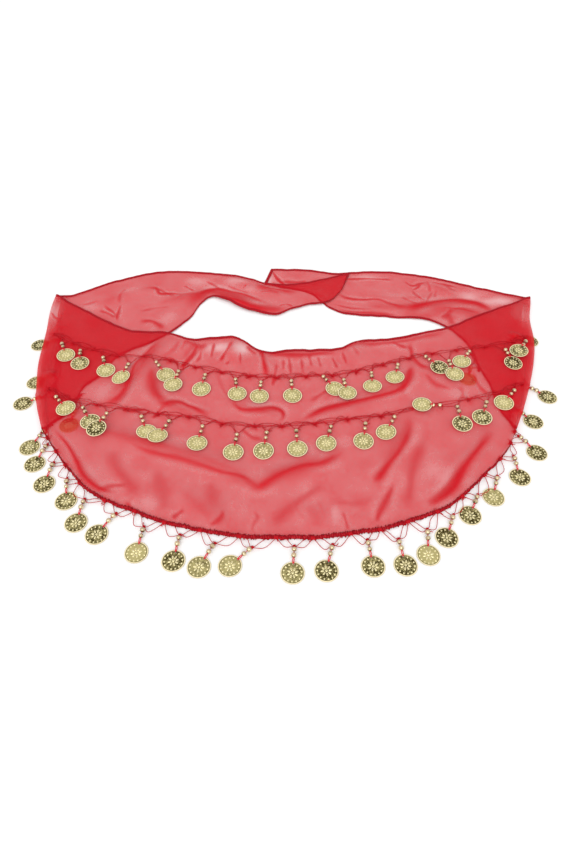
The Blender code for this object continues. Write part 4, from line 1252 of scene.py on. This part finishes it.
CHAIN_END = 0.014           # a chain runs on this far past its first and last drop
LOOSE_GAP = 0.020           # drops closer than this share one loop
SEWN_STRANDS = ((-0.0046, 0.05), (-0.0018, 0.35), (0.0009, 0.15))   # bow and tone of each
STRAY = 0.0008              # how far they stray, at each of these shares of their length
STRAY_PLACES = (0.2, 0.4, 0.6, 0.8)
LOOPS = {True: (-0.0035, 0.0075), False: (-0.0075, -0.0040)}    # bows of the loops of a drop
PUSHED = 0.0045             # beads of a coin turned back along its chain lie against it
PUCKERS = 5                 # small gathers round each knot
PUCKER_REACH = 0.0055
PUCKER_CORE = 0.0022
PUCKER_SHADE = (0.85, 0.6)  # how much denser the red is, partly painted shade, in the core and along the gathers
PUCKER_LIMIT = 0.95


def path_distances(path):
    """Distance along a path to each of its points."""
    distance = [0.0]
    for start, end in zip(path, path[1:]):
        distance.append(distance[-1] + (end - start).length)
    return distance


def smooth_path(points):
    """Points along one smooth curve through the given ones, and the distance to each."""
    steps = 12
    path = [smooth_row(points, step / steps) for step in range((len(points) - 1) * steps + 1)]
    path = [Vector((point.x - CENTRE_X, point.y - CENTRE_Y, 0)) for point in path]
    return path, path_distances(path)


def point_along(path, distance, place):
    """Point of a path at a distance along it, the path's direction there, and the near side."""
    place = min(max(place, 0.0), distance[-1])
    index = 0
    while index < len(path) - 2 and distance[index + 1] < place:
        index += 1
    run = path[index + 1] - path[index]
    part = (place - distance[index]) / (distance[index + 1] - distance[index])
    spot = path[index] + run * part
    run = run.normalized()
    return spot, run, Vector((run.y, -run.x, 0))


def top_height(surface, x, y):
    """Height of a surface's top side, or of the table where there is no surface."""
    if surface is None:
        return TABLE_GAP
    found = surface.ray_cast(Vector((x, y, 1.0)), Vector((0, 0, -1)))[0]
    return TABLE_GAP if found is None else found.z + COIN_GAP


def coin_plane(surface, centre, level, lower, ahead):
    """Plane of a coin's underside, for a flat coin on what is below it."""

    def rest_height(x, y):
        heights = [top_height(surface, x, y) + level * LEVEL_STEP]
        for spot, height_at in lower:
            if (Vector((x, y, 0)) - spot).length < COIN_RADIUS + COIN_GAP:
                heights.append(height_at(x, y) + COIN_THICKNESS + COIN_GAP)
        return max(heights)

    sides = 16
    turns = [2 * math.pi * step / sides for step in range(sides)]
    rim = [(COIN_RADIUS * math.cos(turn), COIN_RADIUS * math.sin(turn)) for turn in turns]
    levels = [top_height(surface, centre.x + x, centre.y + y) for x, y in rim]
    half = sides * COIN_RADIUS * COIN_RADIUS / 2
    slope_x = sum(x * height for (x, y), height in zip(rim, levels)) / half
    slope_y = sum(y * height for (x, y), height in zip(rim, levels)) / half
    if surface is not None:
        slope_x -= ahead.x * ROW_LEAN
        slope_y -= ahead.y * ROW_LEAN
    spots = [(x * part, y * part) for x, y in rim for part in (0.0, 0.3, 0.6, 0.8, 1.0)]
    base = max(rest_height(centre.x + x, centre.y + y) - slope_x * x - slope_y * y
               for x, y in spots)

    def height_at(x, y):
        return base + slope_x * (x - centre.x) + slope_y * (y - centre.y)

    return height_at


Drop = namedtuple("Drop", "ahead centre plane upper lower tip radii strand")


def lay_drops(path, distance, strands, surface, places):
    """Where each drop lies: its coin's plane, its beads and the point where it is tied on."""
    laid = {}
    for number, strand in enumerate(sorted(strands, key=lambda item: item.level)):
        root, _, near = point_along(path, distance, strand.along)
        turn = math.radians(strand.heading)
        ahead = Vector((math.sin(turn), -math.cos(turn), 0))
        centre = root + near * ELBOW[strand.level] + ahead * strand.drop
        below = [(item.centre, item.plane) for item in laid.values()] if strand.level else []
        plane = coin_plane(surface, centre, strand.level, below, ahead)
        radii = BEAD_SIZES[number % len(BEAD_SIZES)]
        beads = []
        pushed = PUSHED if abs(strand.heading) > 90 else 0.0
        for back, radius in zip(places, radii):
            spot = centre - ahead * (back - pushed)
            ground = max(top_height(surface, spot.x + x, spot.y + y)
                         for x in (-radius / 2, radius / 2) for y in (-radius / 2, radius / 2))
            beads.append(Vector((spot.x, spot.y, ground + radius)))
        tip = beads[0] - ahead * (radii[0] + KNOT_GAP)
        tip.z -= radii[0] * 0.4
        laid[strand] = Drop(ahead, centre, plane, beads[0], beads[1], tip, radii, strand)
    return [laid[strand] for strand in strands]


def add_thread(mesh, points, radius=THREAD_RADIUS, tone=0.8, steps=THREAD_STEPS):
    """Round thread on a smooth curve through a few points, closed at both ends."""
    stitch = mesh.verts.layers.float["stitch"]
    curve = curve_between([points[0], *points, points[-1]], steps)
    side = None
    rings = []
    for index, spot in enumerate(curve):
        run = (curve[min(index + 1, len(curve) - 1)] - curve[max(index - 1, 0)]).normalized()
        if side is None:
            side = run.orthogonal().normalized()
        side = (side - run * side.dot(run)).normalized()
        over = run.cross(side)
        ring = []
        for k in range(THREAD_SIDES):
            turn = 2 * math.pi * k / THREAD_SIDES
            offset = side * math.cos(turn) + over * math.sin(turn)
            vertex = mesh.verts.new(spot + offset * radius)
            vertex[stitch] = tone
            ring.append(vertex)
        rings.append(ring)
    add_tube(mesh, rings)


def add_knot(mesh, place, run, size, draw, tails):
    """A few tight turns of thread round a spot, with its loose ends."""
    side = Vector((-run.y, run.x, 0))
    coil = []
    for step in range(KNOT_STEPS + 1):
        part = step / KNOT_STEPS
        turn = 2 * math.pi * KNOT_TURNS * part
        coil.append(place + run * (part - 0.5) * size * COIL[0]
                    + side * math.cos(turn) * size * COIL[1]
                    + Vector((0, 0, COIL[2] * size * math.sin(turn))))
    add_thread(mesh, coil, radius=COIL[3] * size, tone=KNOT_TONE, steps=1)
    for _ in range(tails):
        turn = draw.uniform(0, 2 * math.pi)
        reach = Vector((math.cos(turn), math.sin(turn), 0)) * TAIL_LENGTH * draw.uniform(0.5, 1.1)
        bend = Vector((-reach.y, reach.x, 0)) * draw.uniform(-0.35, 0.35)
        low = Vector((0, 0, -0.3 * size))
        add_thread(mesh, [place, place + reach * 0.5 + bend, place + reach + low],
                   tone=KNOT_TONE, steps=4)


def place_copy(pattern, name, matrix, patina):
    """One copy of a modelled coin or bead, with its own mesh, its own patina and painted shade."""
    data = pattern.copy()
    data.transform(matrix)
    attribute = data.attributes.new("patina", "FLOAT", "POINT")
    attribute.data.foreach_set("value", [patina] * len(data.vertices))
    piece = bpy.data.objects.new(name, data)
    bpy.context.scene.collection.objects.link(piece)
    return piece


def on_coin(drop, back, reach, height):
    """Point over a coin's upper side, at a reach from its middle towards its beads."""
    spot = Vector((drop.centre.x, drop.centre.y, 0)) + back * reach
    spot.z = drop.plane(spot.x, spot.y) + height
    return spot


def add_drop(mesh, drop, coins, beads, draw, on_hem):
    """One coin, its two beads and the threads that hold them."""
    x, y = drop.centre.x, drop.centre.y
    base = drop.plane(x, y)
    upwards = Vector((base - drop.plane(x + 1, y), base - drop.plane(x, y + 1), 1)).normalized()
    back = (-drop.ahead - upwards * upwards.dot(-drop.ahead)).normalized()
    turn = Matrix((back, upwards.cross(back), upwards)).transposed().to_4x4()
    matrix = Matrix.Translation((x, y, base)) @ turn
    coins.append(place_copy(coin_mesh, "coin", matrix, drop.strand.patina))
    for spot, radius in zip((drop.upper, drop.lower), drop.radii):
        aim = drop.ahead.to_track_quat("Z", "Y").to_matrix().to_4x4()
        matrix = Matrix.Translation(spot) @ aim @ Matrix.Scale(radius, 4)
        beads.append(place_copy(bead_mesh, "bead", matrix, draw.uniform(0.5, 1.0)))
    hole = on_coin(drop, back, HOLE_PLACE, COIN_THICKNESS * 0.6)
    rim_spot = on_coin(drop, back, COIN_RADIUS + RIM_CLEAR, COIN_THICKNESS + 2.2 * THREAD_RADIUS)
    over = on_coin(drop, back, HOLE_PLACE + HOLE_CLEAR, COIN_THICKNESS + 2 * THREAD_RADIUS)
    end = drop.lower + drop.ahead * (drop.radii[1] * 0.8)
    add_thread(mesh, [drop.tip, drop.upper, (drop.upper + drop.lower) / 2, drop.lower, end],
               steps=3)
    aside = Vector((-drop.ahead.y, drop.ahead.x, 0)) * 2.0 * THREAD_RADIUS
    for sign in (-1, 1):
        add_thread(mesh, [end, end + (rim_spot - end) * 0.5 + aside * sign,
                          rim_spot + aside * sign, over + aside * 0.5 * sign, hole],
                   radius=HOLD_RADIUS, tone=0.5, steps=4)
    add_knot(mesh, drop.tip, drop.ahead, DROP_KNOT[on_hem], draw, tails=1)


def coin_row(name, path, distance, surface, seed):
    """The coins, beads and threads of one chain."""
    on_hem = name == "hem"
    draw = random.Random(seed)
    drops = lay_drops(path, distance, STRANDS[name], surface, BEAD_PLACES.get(name, OTHER_BEADS))
    coins, beads = [], []
    mesh = thread_mesh()
    for drop in drops:
        add_drop(mesh, drop, coins, beads, draw, on_hem)

    places = [drops[0].strand.along - CHAIN_END]
    groups = [[drops[0]]]
    for before, after in zip(drops, drops[1:]):
        if after.strand.along - before.strand.along < LOOSE_GAP and not on_hem:
            groups[-1].append(after)
            continue
        places.append((before.strand.along + after.strand.along) / 2)
        groups.append([after])
    places.append(drops[-1].strand.along + CHAIN_END)
    knots = []
    for place in places:
        spot, run, near = point_along(path, distance, place + draw.uniform(-KNOT_STRAY, KNOT_STRAY))
        if on_hem:
            spot = spot - near * HEM_KNOT_INSET
            spot.z = 2 * HEM_BAND[1]
        else:
            lift = CHAIN_KNOT[False] if surface is None else SEWN_KNOT_LIFT
            spot.z = top_height(surface, spot.x, spot.y) + lift
        knots.append((spot, near))
        add_knot(mesh, spot, run, CHAIN_KNOT[on_hem], draw, tails=4)
        if surface is not None:
            row_knots.append(spot)

    def lay(points):
        """Lift points clear of what is below them."""
        for point in points[1:-1]:
            point.z = max(point.z, top_height(surface, point.x, point.y) + THREAD_RADIUS)
        return points

    def lead(span, near, bow):
        """Way out of a knot into a loop."""
        return span * draw.uniform(0.4, 0.6) + near * bow * draw.uniform(0.6, 1.2)

    for (start, near), (end, _), group in zip(knots, knots[1:], groups):
        span = end - start
        for bow, tone in () if on_hem else SEWN_STRANDS:
            bow *= draw.uniform(0.5, 1.3)
            strand = [start]
            for part in STRAY_PLACES:
                off = bow * 4 * part * (1 - part) + draw.uniform(-STRAY, STRAY)
                strand.append(start + span * part + near * off)
            add_thread(mesh, lay(strand + [end]), radius=SEWN_RADIUS, tone=tone)
        tips = [drop.tip for drop in group]
        for bow in LOOPS[on_hem]:
            out = start + lead(tips[0] - start, near, bow)
            back = end + lead(tips[-1] - end, near, bow)
            add_thread(mesh, lay([start, out] + tips + [back, end]),
                       radius=THREAD_RADIUS if on_hem else SEWN_RADIUS,
                       tone=0.05 if on_hem else 0.15)

    made = []
    for kind, copies, brass in (("brass_coins", coins, coin_brass), ("beads", beads, bead_brass)):
        piece = join(copies)
        piece.name = piece.data.name = f"{name}_{kind}"
        piece.data.materials.clear()
        piece.data.materials.append(brass)
        made.append(piece)
    made.append(thread_piece(f"{name}_threads", mesh, loop_thread))
    for piece in made:
        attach(piece, "root")
        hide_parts(name + "_coins")


row_knots = []
loop_thread = thread_material("loop_thread", (0.46, 0.002, 0.008, 1), (0.80, 0.040, 0.060, 1))
corners = [Vector((x - CENTRE_X, y - CENTRE_Y, z)) for x, y, z in front_columns.reshape(-1, 3)]
across = len(front_columns[0])
quads = [(i * across + j, i * across + j + 1, (i + 1) * across + j + 1, (i + 1) * across + j)
         for i in range(len(front_columns) - 1) for j in range(across - 1)]
front_top = BVHTree.FromPolygons(corners, quads)

HEM_START = 4 * FOLD_STEPS  # the hem's chain starts past the side fold
HEM_CHAIN_OUT = 0.0015
hem_edge = [Vector((x - CENTRE_X, y - CENTRE_Y, 0))
            for x, y, z in front_columns[HEM_START:-HEM_START, -1]]
hem_path = []
for index, point in enumerate(hem_edge):
    run = hem_edge[min(index + 1, len(hem_edge) - 1)] - hem_edge[max(index - 1, 0)]
    hem_path.append(point + Vector((run.y, -run.x, 0)).normalized() * HEM_CHAIN_OUT)
coin_row("hem", hem_path, path_distances(hem_path), None, 5)
for seed, (name, points) in enumerate(CHAINS.items(), start=20):
    coin_row(name, *smooth_path(points), front_top if name in ("upper", "middle") else None, seed)
bpy.data.objects.remove(coin, do_unlink=True)
bpy.data.objects.remove(bead, do_unlink=True)

# The needle drew the chiffon together at every knot of the rows: small gathers round it,
# denser and darker red, partly painted crease shade.
gather_and_shade = front_cloth.data.attributes["gather_and_shade"]
spots = np.empty(len(front_cloth.data.vertices) * 3)
front_cloth.data.vertices.foreach_get("co", spots)
spots = spots.reshape(-1, 3)
dense_and_shaded = np.empty(len(spots))
gather_and_shade.data.foreach_get("value", dense_and_shaded)
for number, knot in enumerate(row_knots):
    x, y = spots[:, 0] - knot.x, spots[:, 1] - knot.y
    reach = np.hypot(x, y)
    pucker = 0.5 + 0.5 * np.cos(PUCKERS * np.arctan2(y, x) + 2.3 * number)
    drawn_and_shaded = (PUCKER_SHADE[0] * hump(reach, PUCKER_CORE)
             + PUCKER_SHADE[1] * pucker * hump(reach, PUCKER_REACH))
    dense_and_shaded = 1 - (1 - dense_and_shaded) * (1 - np.minimum(drawn_and_shaded, PUCKER_LIMIT))
gather_and_shade.data.foreach_set("value", dense_and_shaded)
